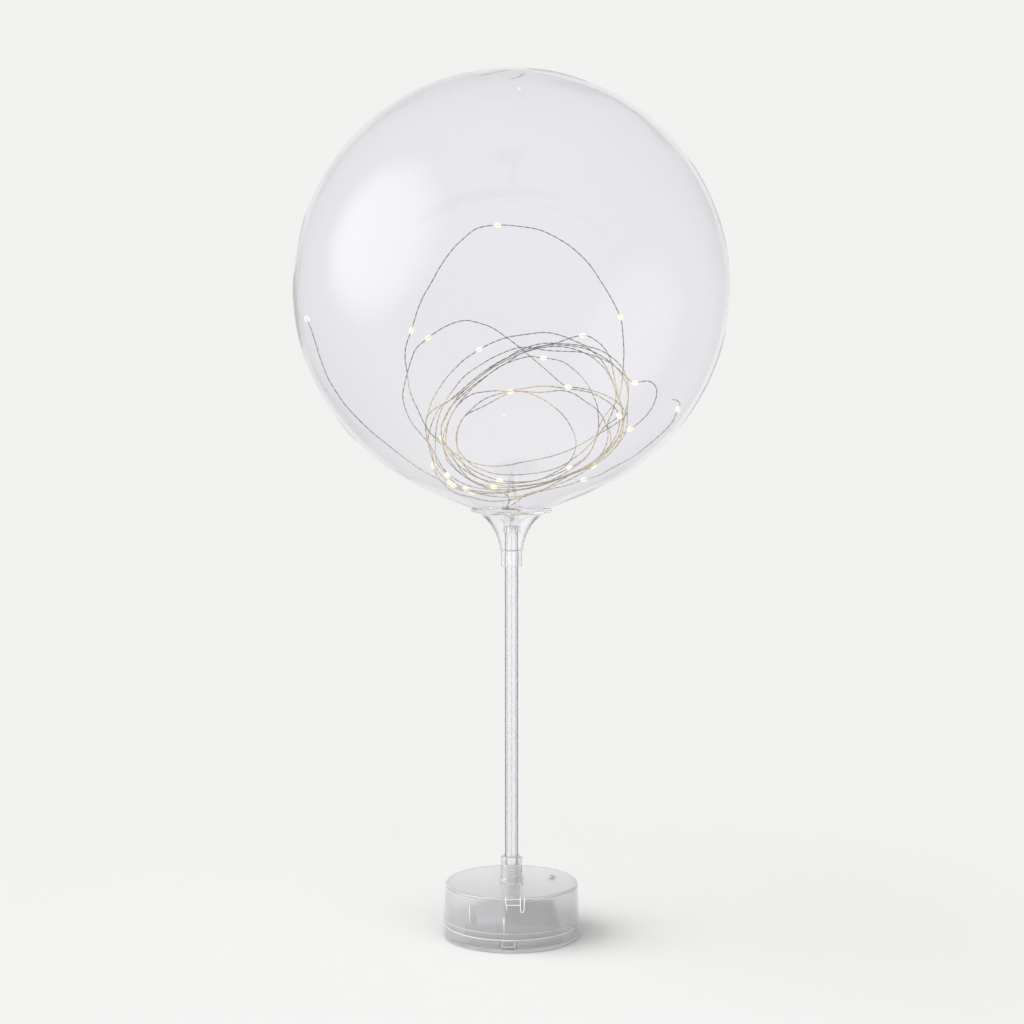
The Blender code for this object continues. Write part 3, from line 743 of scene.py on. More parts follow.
def even_route(points, step, passes=12):
    """Evenly spaced points on a Catmull-Rom curve through the route's own points."""
    route = [Vector(p) for p in points]
    ends = [2 * route[0] - route[1], *route, 2 * route[-1] - route[-2]]
    fine = [route[0]]
    for a, b, c, d in zip(ends, ends[1:], ends[2:], ends[3:]):
        for i in range(1, passes + 1):
            t = i / passes
            fine.append(0.5 * (2 * b + (c - a) * t + (2 * a - 5 * b + 4 * c - d) * t ** 2
                               + (3 * b - a - 3 * c + d) * t ** 3))
    even = [fine[0]]
    spare = 0.0
    for a, b in zip(fine, fine[1:]):
        length = (b - a).length
        along = step - spare
        while along <= length:
            even.append(a.lerp(b, along / length))
            along += step
        spare = length - (along - step)
    return even


def route_length(points):
    return sum((b - a).length for a, b in zip(points, points[1:]))


def seen_at(x_px, y_px, depth):
    """The point at this depth, along Y, that the camera sees at a pixel of the photograph."""
    across = (x_px - MIDDLE_PX) / FOCAL_PX
    up = (MIDDLE_PX - y_px) / FOCAL_PX
    cosine, sine = math.cos(CAMERA_DIP), math.sin(CAMERA_DIP)
    ray = Vector((across, cosine + up * sine, up * cosine - sine))
    return CAMERA_AT + ray * ((depth - CAMERA_AT.y) / ray.y)


def pixel_of(point):
    """Where the camera sees a point, in the photograph's pixels."""
    offset = point - CAMERA_AT
    cosine, sine = math.cos(CAMERA_DIP), math.sin(CAMERA_DIP)
    ahead = offset.y * cosine - offset.z * sine
    up = offset.y * sine + offset.z * cosine
    return Vector((MIDDLE_PX + FOCAL_PX * offset.x / ahead, MIDDLE_PX - FOCAL_PX * up / ahead))


def on_wall(x_px, y_px, radius):
    """The point on the front of an upright round wall that the camera sees at a pixel."""
    point = seen_at(x_px, y_px, -radius)
    for _ in range(4):
        point = seen_at(x_px, y_px, -math.sqrt(radius ** 2 - point.x ** 2))
    return point


def on_ball(x_px, y_px, radius):
    """The point on the front of the ball that the camera sees at a pixel."""
    centre = Vector((0, 0, BALL_Z))
    ray = (seen_at(x_px, y_px, 0) - CAMERA_AT).normalized()
    nearest = CAMERA_AT + ray * (centre - CAMERA_AT).dot(ray)
    inside = radius ** 2 - (nearest - centre).length_squared
    if inside > 0:
        return nearest - ray * math.sqrt(inside)
    return centre + (nearest - centre).normalized() * radius


def in_ball(x_px, y_px, depth, reach):
    """A pixel's point at this depth, brought nearer the middle where it would be outside the film."""
    centre = Vector((0, 0, BALL_Z))
    point = seen_at(x_px, y_px, depth)
    for _ in range(4):
        offset = point - centre
        flat = math.hypot(offset.x, offset.z)
        if offset.length > reach and flat < reach:
            point = seen_at(x_px, y_px, math.copysign(math.sqrt(reach ** 2 - flat ** 2), offset.y))
    offset = point - centre
    return point if offset.length <= reach else centre + offset * (reach / offset.length)


def string_route(exit_points, swing, runs, reach, step):
    """A light string's centreline: out of the pole, up the neck, and through its runs in the ball."""
    places = []
    depths = []
    for run, foot_mm, lean in runs:
        places.extend(run)
        depths.extend((foot_mm + lean * (FOOT_PX - y_px)) / 1000 for x_px, y_px in run)
    for _ in range(DEPTH_PASSES):
        inner = [(a + 2 * b + c) / 4 for a, b, c in zip(depths, depths[1:], depths[2:])]
        depths = [depths[0], *inner, depths[-1]]
    pole_end = Vector((0, 0, POLE_TOP + STRING_EXIT))
    points = [pole_end + Vector(offset) for offset in exit_points]
    for i in range(1, TURN_POINTS + 1):
        turn = math.radians(swing) + math.tau * i / TURN_POINTS
        opened = min(1, i / TURN_OPENING)
        lift = exit_points[-1][2] + TURN_LIFT * opened + TURN_RISE * i / TURN_POINTS
        out = TURN_RADIUS * opened
        points.append(pole_end + Vector((out * math.cos(turn), out * math.sin(turn), lift)))
    points += [in_ball(x_px, y_px, depth, reach) for (x_px, y_px), depth in zip(places, depths)]
    return even_route(points, step)


def line_object(name, lines):
    """Open lines of points, as one mesh of edges for a tree to follow."""
    points = []
    edges = []
    for line in lines:
        first = len(points)
        points.extend(tuple(point) for point in line)
        edges.extend((first + i, first + i + 1) for i in range(len(line) - 1))
    mesh = bpy.data.meshes.new(name)
    mesh.from_pydata(points, edges, [])
    return new_object(name, mesh)


def sweep(nodes, line, sides, radius):
    """A round wire along a line, with closed ends."""
    profile = nodes.add("GeometryNodeCurvePrimitiveCircle", None, {"Resolution": sides, "Radius": radius})
    return nodes.add("GeometryNodeCurveToMesh", None,
                     {"Curve": line, "Profile Curve": profile, "Fill Caps": True})


def twisted_pair_tree():
    """Two strands wound round each other along a line."""
    tree, nodes, given = new_tree("Twisted pair", {
        "Strand radius": "Float", "Strand offset": "Float", "Twist length": "Float", "Step": "Float",
        "Sides": "Int", "Material": "Material"})
    line = nodes.add("GeometryNodeMeshToCurve", None, {0: given})
    fine = nodes.add("GeometryNodeResampleCurve", {"mode": "LENGTH"},
                     {"Curve": line, "Length": given.other("Step")})
    angle = nodes.add("GeometryNodeSplineParameter", output="Length") / given.other("Twist length") * math.tau
    side = nodes.add("GeometryNodeInputNormal")
    along = nodes.add("GeometryNodeInputTangent")
    across = nodes.add("ShaderNodeVectorMath", {"operation": "CROSS_PRODUCT"}, {0: along, 1: side})
    strands = []
    for phase in (0.0, math.pi):
        turn = angle + phase
        parts = []
        for direction, wave in ((side, "COSINE"), (across, "SINE")):
            share = nodes.add("ShaderNodeMath", {"operation": wave}, {0: turn}) * given.other("Strand offset")
            parts.append(nodes.add("ShaderNodeVectorMath", {"operation": "SCALE"},
                                   {0: direction, "Scale": share}))
        offset = nodes.add("ShaderNodeVectorMath", {"operation": "ADD"}, {0: parts[0], 1: parts[1]})
        wound = nodes.add("GeometryNodeSetPosition", None, {"Geometry": fine, "Offset": offset})
        strands.append(sweep(nodes, wound, given.other("Sides"), given.other("Strand radius")))
    both = nodes.add("GeometryNodeJoinGeometry", None, {0: strands})
    end_tree(nodes, both, given.other("Material"))
    return tree


def rod_tree():
    """A round rod along each line, for moulded ribs and the creases of the weld."""
    tree, nodes, given = new_tree("Rod", {"Radius": "Float", "Sides": "Int", "Material": "Material"})
    line = nodes.add("GeometryNodeMeshToCurve", None, {0: given})
    end_tree(nodes, sweep(nodes, line, given.other("Sides"), given.other("Radius")), given.other("Material"))
    return tree


def helix_tree():
    """A helix of round wire about Z, for a thread or a spring."""
    tree, nodes, given = new_tree("Helix", {
        "Turns": "Float", "Foot radius": "Float", "Top radius": "Float", "Height": "Float",
        "Wire radius": "Float", "Sides": "Int", "Material": "Material"})
    line = nodes.add("GeometryNodeCurveSpiral", None, {
        "Resolution": 28, "Rotations": given.other("Turns"), "Start Radius": given.other("Foot radius"),
        "End Radius": given.other("Top radius"), "Height": given.other("Height")})
    wire = sweep(nodes, line, given.other("Sides"), given.other("Wire radius"))
    end_tree(nodes, wire, given.other("Material"))
    return tree


def lamp_row_tree():
    """A copy of the lamp at each point, turned so that its length follows the point's heading."""
    tree, nodes, given = new_tree("Lamp row", {"Lamp": "Object", "Material": "Material"})
    heading = nodes.add("GeometryNodeInputNamedAttribute", {"data_type": "FLOAT_VECTOR"}, {"Name": "heading"})
    turn = nodes.add("FunctionNodeAlignRotationToVector", {"axis": "Z"}, {"Vector": heading})
    lamp = nodes.add("GeometryNodeObjectInfo", None, {"Object": given.other("Lamp")}, "Geometry")
    row = nodes.add("GeometryNodeInstanceOnPoints", None,
                    {"Points": given, "Instance": lamp, "Rotation": turn})
    end_tree(nodes, row, given.other("Material"))
    return tree


def helix(name, values, material):
    mesh = bpy.data.meshes.new(name)
    return grow(new_object(name, mesh), helix_tree(), {**values, "Material": material})


def ready(context):
    """The settings of the part's pieces, by their group."""
    return context.scene.film, context.scene.strings, context.scene.stand, context.scene.studio


def length_setting(name, description, default, **limits):
    return FloatProperty(name=name, description=description, default=default, unit="LENGTH", **limits)


def number_setting(name, description, default, **limits):
    return FloatProperty(name=name, description=description, default=default, **limits)


def count_setting(name, description, default, **limits):
    return IntProperty(name=name, description=description, default=default, **limits)


def colour_setting(name, description, *default):
    return FloatVectorProperty(name=name, description=description, default=default, subtype="COLOR")


class FilmSettings(bpy.types.PropertyGroup):
    """Thickness and look of the balloon's film."""
    wall: length_setting("Wall", "Thickness of the film", 0.0006, min=0.0002)
    fold: length_setting("Fold depth", "Height of the folds in the gathered neck", 0.00042)
    facets: count_setting("Facets", "Faces round the ball", 208, min=48)
    tint: colour_setting("Tint", "Colour that thin film lets through", 0.982, 0.979, 0.998)
    thick_tint: colour_setting("Thick tint", "Colour that thicker film lets through", 0.966, 0.964, 0.986)
    gloss: number_setting("Roughness", "How far the film blurs what shines in it", 0.015)
    bend: number_setting("Bending of light", "The film's index of refraction", 1.46)


class StringSettings(bpy.types.PropertyGroup):
    """Sizes and colours of the light strings and their lamps."""
    diameter: length_setting("Diameter", "Across the twisted pair", 0.0007)
    twist: length_setting("Twist", "Length of one whole turn of the pair", 0.0095)
    light: colour_setting("Bare wire", "Colour of the copper under thin lacquer", 0.22, 0.21, 0.18)
    dark: colour_setting("Lacquer", "Colour of the copper under thick lacquer", 0.105, 0.10, 0.088)
    # Painted lamp light: the colour that the wire is given low in the ball
    painted_lamp_light: colour_setting("Lit wire", "Colour of the copper where lamps light it", 0.70, 0.56, 0.32)
    lamp_length: length_setting("Lamp length", "Length of a lamp's resin drop", 0.0050)
    lamp_width: length_setting("Lamp width", "Width of a lamp's resin drop", 0.0031)
    resin: colour_setting("Resin", "Colour of the resin", 1.0, 0.985, 0.90)
    resin_warm: colour_setting("Warm resin", "Colour of the resin over the chip", 1.0, 0.93, 0.66)
    glow_colour: colour_setting("Glow", "Colour of the lamp's light", 1.0, 0.93, 0.70)
    glow: number_setting("Glow strength", "Brightness of the lamp's light", 0.30)


class StandSettings(bpy.types.PropertyGroup):
    """Sizes and colours of the cup, pole, nut and base."""
    cup_wall: length_setting("Cup wall", "Thickness of the trumpet cup", 0.0010)
    cup_tint: colour_setting("Cup", "Colour of the cup's plastic", 0.975, 0.980, 0.985)
    pole_wall: length_setting("Pole wall", "Thickness of the pole's tube", 0.0012)
    pole_tint: colour_setting("Pole", "Colour of the pole's plastic", 0.955, 0.953, 0.970)
    base_tint: colour_setting("Base", "Colour of the housing's plastic", 0.995, 0.995, 1.000)
    cover_tint: colour_setting("Cover", "Colour of the battery cover's plastic", 0.890, 0.892, 0.898)
    nut_tint: colour_setting("Nut", "Colour of the coupling nut's plastic", 0.975, 0.975, 0.985)
    # Painted shade: the thread is greyer than the boss it is moulded on, so that its turns show dark through
    # the nut
    thread_shade_tint: colour_setting("Thread", "Colour of the boss's thread", 0.80, 0.80, 0.82)
    blur: number_setting("Blur", "How far the base blurs what lies in it", 0.19)
    milk: number_setting("Milk", "How milky the base is", 0.18, min=0.0, max=0.5)
    facets: count_setting("Facets", "Faces round the base", 160, min=32)
    wrap_change: length_setting("Wrap change", "Where along X the cells turn from silver to grey", -0.0040)


class StudioSettings(bpy.types.PropertyGroup):
    """Floor, backdrop and soft light."""
    backdrop: colour_setting("Backdrop", "Light of the backdrop and far floor", 0.884, 0.888, 0.871)
    floor: colour_setting("Floor", "Colour of the floor", 0.700, 0.704, 0.692)
    surround: number_setting("Surround", "Room light that shows in gloss", 0.55)
    clear: number_setting("Behind glass", "Room light that shows through clear pieces", 0.87)
    fill: number_setting("Fill", "Even light on the floor and the part", 0.50)
    front: number_setting("Front", "Light from behind the camera", 1.05)
    card: number_setting("Card", "Light of the white card on the right", 0.9)
    window: number_setting("Window", "Light of the large window on the left", 1.9)
    ghost: number_setting("Ghost", "Share of the window that the ball's far wall mirrors", 0.45)
    dim: number_setting("Dim side", "How much darker the room is on the right", 0.16)
    overhead: number_setting("Overhead", "How much darker the room is above the backdrop", 0.16)
    key: number_setting("Key", "Light of the soft box that throws the shadow", 3.3)
    reach: length_setting("Floor reach", "Radius past which the floor joins the backdrop", 0.55)


class StudioOperator(bpy.types.Operator):
    """Makes the floor, the backdrop's light and the camera"""
    bl_idname = "balloon_light.studio"
    bl_label = "Studio"

    def execute(self, context):
        studio = ready(context)[3]
        self.make_camera(context)
        self.make_light(context, studio)
        self.make_floor(studio)
        context.scene.view_settings.view_transform = "Standard"
        light_paths = context.scene.cycles
        for kind in ("max_bounces", "transmission_bounces", "glossy_bounces"):
            setattr(light_paths, kind, LIGHT_BOUNCES)
        light_paths.diffuse_bounces = MATT_BOUNCES
        return {"FINISHED"}

    def make_camera(self, context):
        lens = bpy.data.cameras.new("camera")
        lens.lens = LENS * 1000
        lens.sensor_width = SENSOR * 1000
        camera = bpy.data.objects.new("camera", lens)
        camera.location = CAMERA_AT
        camera.rotation_euler = (math.pi / 2 - CAMERA_DIP, 0, 0)
        context.scene.collection.objects.link(camera)
        context.scene.camera = camera

    def make_light(self, context, studio):
        world = bpy.data.worlds.new("studio")
        world.use_nodes = True
        world.node_tree.nodes.clear()
        nodes = Nodes(world.node_tree)
        direction = nodes.add("ShaderNodeTexCoord", output="Generated")

        def patch(towards, edge, core):
            """1 within the core angle of a direction, fading to 0 at the edge angle."""
            aim = Vector(towards).normalized()
            facing = nodes.add("ShaderNodeVectorMath", {"operation": "DOT_PRODUCT"},
                               {0: direction, 1: tuple(aim)}, "Value")
            return facing.over(math.cos(math.radians(edge)), math.cos(math.radians(core)))

        path = nodes.add("ShaderNodeLightPath")
        reflected = path.other("Glossy Depth").over(0.0, 1.0)
        window = patch(*WINDOW) * studio.window
        dim_side = patch(*DIM_SIDE) * studio.dim
        behind = patch(*BACKDROP) * (studio.backdrop[1] - studio.surround)
        mirrored = studio.surround + behind + window - dim_side
        card = patch(*CARD) * studio.card
        overhead = patch(*OVERHEAD) * studio.overhead
        through = studio.clear + window * reflected * studio.ghost - dim_side * 0.5 - overhead
        front = patch(*FRONT) * studio.front
        open_light = studio.fill + front + card + patch(*KEY_BOX) * studio.key
        passed = path.other("Is Transmission Ray")
        bounced = path.other("Is Glossy Ray") * (1.0 - passed)
        straight = path.other("Is Camera Ray")
        soft = open_light + (mirrored - open_light) * bounced + (through - open_light) * passed
        tint = nodes.blend(straight, (1.0, 1.0, 1.0), studio.backdrop)
        background = nodes.add("ShaderNodeBackground", None,
                               {"Color": tint, "Strength": soft + (1.0 - soft) * straight})
        nodes.add("ShaderNodeOutputWorld", None, {"Surface": background})
        context.scene.world = world

    def make_floor(self, studio):
        material, nodes = new_finish("floor")
        x, y = nodes.split(nodes.place())[:2]
        radius = nodes.add("ShaderNodeMath", {"operation": "SQRT"}, {0: x * x + y * y})
        grain = nodes.grain(nodes.place(), 60.0, 2.0).over(0.3, 0.7)
        paint = nodes.blend(grain, studio.floor, [c * 0.997 for c in studio.floor])
        matt = nodes.add("ShaderNodeBsdfDiffuse", None, {"Color": paint})
        far = nodes.add("ShaderNodeEmission", None, {"Color": (*studio.backdrop, 1.0), "Strength": 1.0})
        join = radius.over(studio.reach * 0.4, studio.reach)
        near_and_far = nodes.add("ShaderNodeMixShader", None, {0: join, 1: matt, 2: far})
        path = nodes.add("ShaderNodeLightPath")
        open_air = nodes.add("ShaderNodeBsdfTransparent")
        seen_in_gloss = path.other("Is Glossy Ray")
        hidden = seen_in_gloss * radius.over(*GLOSS_FADE)
        finish_with(nodes, nodes.add("ShaderNodeMixShader", None, {0: hidden, 1: near_and_far, 2: open_air}))
        shape = bmesh.new()
        bmesh.ops.create_circle(shape, cap_ends=True, segments=96, radius=FLOOR_RADIUS)
        for vert in shape.verts:
            vert.co.z = FLOOR_Z
        floor = new_object("floor", mesh_of(shape, "floor"), material)


class StringsOperator(bpy.types.Operator):
    """Makes the two light strings inside the ball, with their lamps"""
    bl_idname = "balloon_light.strings"
    bl_label = "Light strings"

    def execute(self, context):
        film, strings = ready(context)[:2]
        reach = BALL_RADIUS - film.wall - strings.diameter
        copper = lacquered_wire("fairy_wire", strings.light, strings.dark, strings.painted_lamp_light)
        routes = {
            "string_left": string_route(LEFT_EXIT, LEFT_SWING, LEFT_STRING, reach, ROUTE_STEP),
            "string_right": string_route(RIGHT_EXIT, RIGHT_SWING, RIGHT_STRING, reach, ROUTE_STEP),
        }
        lamps = self.lamp_places(routes)
        tree = twisted_pair_tree()
        quarter = strings.diameter / 4
        for name, route in routes.items():
            wire = grow(line_object(name, [route]), tree, {
                "Strand radius": quarter, "Strand offset": quarter, "Twist length": strings.twist,
                "Step": strings.twist / 12, "Sides": 5, "Material": copper})
            dress(wire, "fairy_wire")
            row = self.lamp_row(name + "_lamps", lamps[name], strings)
            route_length(route)
        return {"FINISHED"}

    def lamp_places(self, routes):
        """For each lamp in the photograph, the nearest point of a string as the camera sees it."""
        found = {name: [] for name in routes}
        pixels = {name: [pixel_of(point) for point in route] for name, route in routes.items()}
        for lamp_px in LAMPS_PX:
            spot = Vector(lamp_px)
            name, at = min(((name, i) for name in routes for i in range(3, len(routes[name]) - 1)),
                           key=lambda place: (pixels[place[0]][place[1]] - spot).length)
            route = routes[name]
            found[name].append((route[at], (route[at + 1] - route[at - 1]).normalized()))
        return found

    def lamp_row(self, name, places, strings):
        half = strings.lamp_length / 2
        width = strings.lamp_width / 2
        resin = lamp_resin(strings)
        lamp = turned("lamp", [(width * out, half * up) for up, out in LAMP_SHAPE], 12, resin, sharp=60)
        points = bpy.data.meshes.new(name)
        points.from_pydata([tuple(point) for point, heading in places], [], [])
        heading = points.attributes.new("heading", "FLOAT_VECTOR", "POINT")
        heading.data.foreach_set("vector", [value for point, along in places for value in along])
        row = grow(new_object(name, points), lamp_row_tree(), {"Lamp": lamp, "Material": resin})
        bpy.data.objects.remove(lamp)
        dress(row, "led_bead")
        return row


class FilmOperator(bpy.types.Operator):
    """Makes the ball's film, its gathered neck and the weld at its top"""
    bl_idname = "balloon_light.film"
    bl_label = "Film balloon"

    def execute(self, context):
        film = ready(context)[0]
        material = film_finish(film)
        ball = turned("balloon_film", self.outline(), film.facets, material, sharp=80)
        self.gather(ball, film)
        skin = ball.modifiers.new("Wall", "SOLIDIFY")
        skin.thickness = film.wall
        skin.offset = -1.0
        keep_result(ball)
        smooth_by_angle(ball, 60)
        dress(ball, "film", "balloon", "balloon_neck", shadow=False)
        self.weld(material)
        return {"FINISHED"}

    def outline(self):
        rim = (RIM_RADIUS - RIM_WIDTH / 2, RIM_Z + FIT - BALL_Z)
        lean = math.atan2(rim[0], -rim[1])
        touch = lean + math.acos(BALL_RADIUS / math.hypot(*rim))
        ball = arc((0, 0), BALL_RADIUS, 90, math.degrees(touch) - 90, 116)
        ball[0] = (0, BALL_RADIUS)
        skirt = [(ball[-1][0] + (rim[0] - ball[-1][0]) * i / 6, ball[-1][1] + (rim[1] - ball[-1][1]) * i / 6)
                 for i in range(1, 7)]
        neck_r = POLE_RADIUS + FIT + NECK_GAP
        neck_top = POLE_TOP + FIT - BALL_Z
        slide = (rim[0] - neck_r) * 0.5
        shoulder = (rim[0] - slide, rim[1] - slide * math.tan(touch))
        waist = (neck_r, neck_top + (rim[1] - neck_top) * 0.55)
        neck = bezier((rim, shoulder, waist, (neck_r, neck_top)), 26)
        grip = [(neck_r, neck_top - GRIP_LENGTH * i / 5) for i in range(1, 6)]
        return [(r, z + BALL_Z) for r, z in [*ball, *skirt, *neck, *grip]]

    def gather(self, ball, film):
        """Folds the neck, and puckers the film a little round its weld."""
        for vert in ball.data.vertices:
            radius = math.hypot(vert.co.x, vert.co.y)
            turn = math.atan2(vert.co.y, vert.co.x)
            above = vert.co.z - POLE_TOP
            if above < FOLD_HEIGHT and radius > 0.001:
                share = min(1.0, max(0.0, (FOLD_HEIGHT - above) / FOLD_HEIGHT)) ** 1.6
                fold = film.fold * share * math.cos(FOLD_COUNT * turn + 0.9 * math.sin(3 * turn))
                scale = (radius + fold - film.fold * share * 0.3) / radius
                vert.co.x *= scale
                vert.co.y *= scale
            elif vert.co.z > BALL_Z and radius < PUCKER_REACH:
                ring = math.exp(-((radius - PUCKER_RADIUS) / PUCKER_RADIUS) ** 2)
                wave = math.cos(PUCKER_COUNT * turn + 5 * math.sin(2 * turn))
                vert.co.z -= PUCKER_DEPTH * ring * (1 + wave)
        ball.data.update()

    def weld(self, material):
        """The creases where the film was sealed, near the top, and two small white specks on the film,
        painted highlights where glints show.
        """
        lines = [even_route([on_ball(*px, BALL_RADIUS) for px in run], CREASE_STEP) for run in WELD_PX]
        creases = grow(line_object("film_creases", lines), rod_tree(),
                       {"Radius": CREASE_RADIUS, "Sides": 8, "Material": material})
        dress(creases, "film", shadow=False)
        shape = bmesh.new()
        for glint_px in GLINT_SPECKS_PX:
            made = bmesh.ops.create_uvsphere(shape, u_segments=16, v_segments=10, radius=GLINT_SPECK_RADIUS)
            for vert in made["verts"]:
                vert.co += on_ball(*glint_px, BALL_RADIUS)
        glint_specks = new_object("film_pips", mesh_of(shape, "film_pips"), painted_highlight_finish())
        smooth_by_angle(glint_specks, 70)
        dress(glint_specks, "film")


def flare(depth, wall, inset=0.0):
    """A point of the trumpet's outside at a depth under the rim, or the point an inset square in from it."""
    narrowing = RIM_RADIUS - SLEEVE_RADIUS - wall / 2
    narrowing /= 1 - math.exp(-FLARE_DEPTH / FLARE_LENGTH)
    fade = math.exp(-depth / FLARE_LENGTH)
    slope = -narrowing * fade / FLARE_LENGTH
    along = inset / math.hypot(1, slope)
    return RIM_RADIUS - narrowing * (1 - fade) - along, -depth - slope * along


class CupOperator(bpy.types.Operator):
    """Makes the trumpet cup that the balloon sits in"""
    bl_idname = "balloon_light.cup"
    bl_label = "Trumpet cup"

    def execute(self, context):
        stand = ready(context)[2]
        wall = stand.cup_wall
        start = RIM_HEIGHT + wall / 2
        depths = [start + (FLARE_DEPTH - start) * (i / 44) ** 1.3 for i in range(45)]
        bore = POLE_RADIUS + FIT
        bottom = CUP_LOW.z - RIM_Z
        outline = [
            (RIM_RADIUS - RIM_WIDTH / 2, 0),
            *arc((RIM_RADIUS - CUP_ROUND, -CUP_ROUND), CUP_ROUND, 90, 0, 5),
            *arc((RIM_RADIUS - CUP_ROUND, CUP_ROUND - RIM_HEIGHT), CUP_ROUND, 0, -90, 5),
            *[flare(depth, wall) for depth in depths],
            (SLEEVE_RADIUS, -FLARE_DEPTH - CUP_ROUND),
            *arc((SLEEVE_RADIUS - CUP_ROUND, bottom + CUP_ROUND), CUP_ROUND, 0, -90, 5),
            (bore, bottom),
            (bore, -FLARE_DEPTH + wall / 2),
            *[flare(depth, wall, wall) for depth in reversed(depths)],
        ]
        # Painted shade: the flare's colour darkens where it is seen edge on, under the rim
        plastic = clear_plastic("cup_plastic", stand.cup_tint, roughness=0.03, milk=0.04, grain_scale=60.0,
                                outline=(0.60, 0.78), below=RIM_Z - 0.002)
        cup = turned("cup", [(r, z + RIM_Z) for r, z in outline], 144, plastic, closed=True, sharp=50)
        dress(cup, "cup_plastic", "trumpet_cup", shadow=False)
        return {"FINISHED"}


class PoleOperator(bpy.types.Operator):
    """Makes the pole, the coupling nut and the thread under it"""
    bl_idname = "balloon_light.pole"
    bl_label = "Pole and nut"

    def execute(self, context):
        stand = ready(context)[2]
        self.tube(stand)
        self.nut(stand)
        self.thread(stand)
        return {"FINISHED"}

    def tube(self, stand):
        # Painted shade: the tube's colour darkens where its sides are seen edge on
        plastic = clear_plastic("pole_plastic", stand.pole_tint, roughness=0.24, milk=0.045,
                                grain_scale=140.0, outline=(0.40, 0.54))
        bore = POLE_RADIUS - stand.pole_wall
        low, high, edge = POLE_LOW.z, POLE_TOP, POLE_ROUND
        levels = [low + edge + (high - low - 2 * edge) * i / 24 for i in range(25)]
        outline = [(bore + edge, low), (POLE_RADIUS - edge, low), *[(POLE_RADIUS, z) for z in levels],
                   (POLE_RADIUS - edge, high), (bore + edge, high), *[(bore, z) for z in reversed(levels)]]
        tube = turned("pole_tube", outline, 72, plastic, closed=True, sharp=50)
        dress(tube, "pole_plastic", "pole", shadow=False)

    def nut(self, stand):
        plastic = clear_plastic("coupling_plastic", stand.nut_tint, roughness=0.10, milk=0.08,
                                grain_scale=160.0)
        low, high = NUT_LOW.z, NUT_HIGH.z
        step = low + FLANGE_HEIGHT
        pole_bore = POLE_RADIUS + FIT
        boss_bore = BOSS_RADIUS + FIT
        shoulder = low + NUT_SHOULDER
        brim = NUT_HIGH.x - FLANGE_ROUND
        outline = [
            (pole_bore, high),
            (NUT_RADIUS - NUT_ROUND, high),
            *arc((NUT_RADIUS - NUT_ROUND, high - NUT_ROUND), NUT_ROUND, 75, 0, 5),
            (NUT_RADIUS, step + FLANGE_FILLET),
            *arc((NUT_RADIUS + FLANGE_FILLET, step + FLANGE_FILLET), FLANGE_FILLET, 180, 270, 4),
            *arc((brim, step - FLANGE_ROUND), FLANGE_ROUND, 90, 0, 4),
            *arc((brim, low + FLANGE_ROUND), FLANGE_ROUND, 0, -90, 4),
            (boss_bore, low),
            (boss_bore, shoulder),
            (pole_bore, shoulder),
        ]
        nut = turned("coupling_nut", outline, 96, plastic, closed=True, sharp=50)
        dress(nut, "coupling_plastic", "pole_coupling", shadow=False)

    def thread(self, stand):
        # Painted shade: a greyer, milkier plastic than the housing, for the dark turns of the thread
        plastic = clear_plastic("thread_plastic", stand.thread_shade_tint, roughness=0.08, milk=0.25,
                                grain_scale=220.0)
        radius = BOSS_RADIUS - THREAD_SINK
        thread = helix("boss_thread", {
            "Turns": THREAD_TURNS, "Foot radius": radius, "Top radius": radius, "Height": THREAD_HEIGHT,
            "Wire radius": THREAD_RADIUS, "Sides": 6}, plastic)
        for vert in thread.data.vertices:
            vert.co.z += BASE_TOP + THREAD_START
        dress(thread, "housing_plastic")


def block(name, low, high):
    """A closed box between two corners."""
    shape = bmesh.new()
    for vert in bmesh.ops.create_cube(shape, size=1.0)["verts"]:
        share = vert.co + Vector((0.5, 0.5, 0.5))
        vert.co = Vector(low) + Vector(a * (b - c) for a, b, c in zip(share, high, low))
    return new_object(name, mesh_of(shape, name))


def join_or_cut(item, other, operation):
    """Joins another solid to a piece, or cuts it out, and removes it."""
    step = item.modifiers.new(operation, "BOOLEAN")
    step.operation = operation
    step.solver = "EXACT"
    step.object = other
    keep_result(item)
    bpy.data.objects.remove(other)


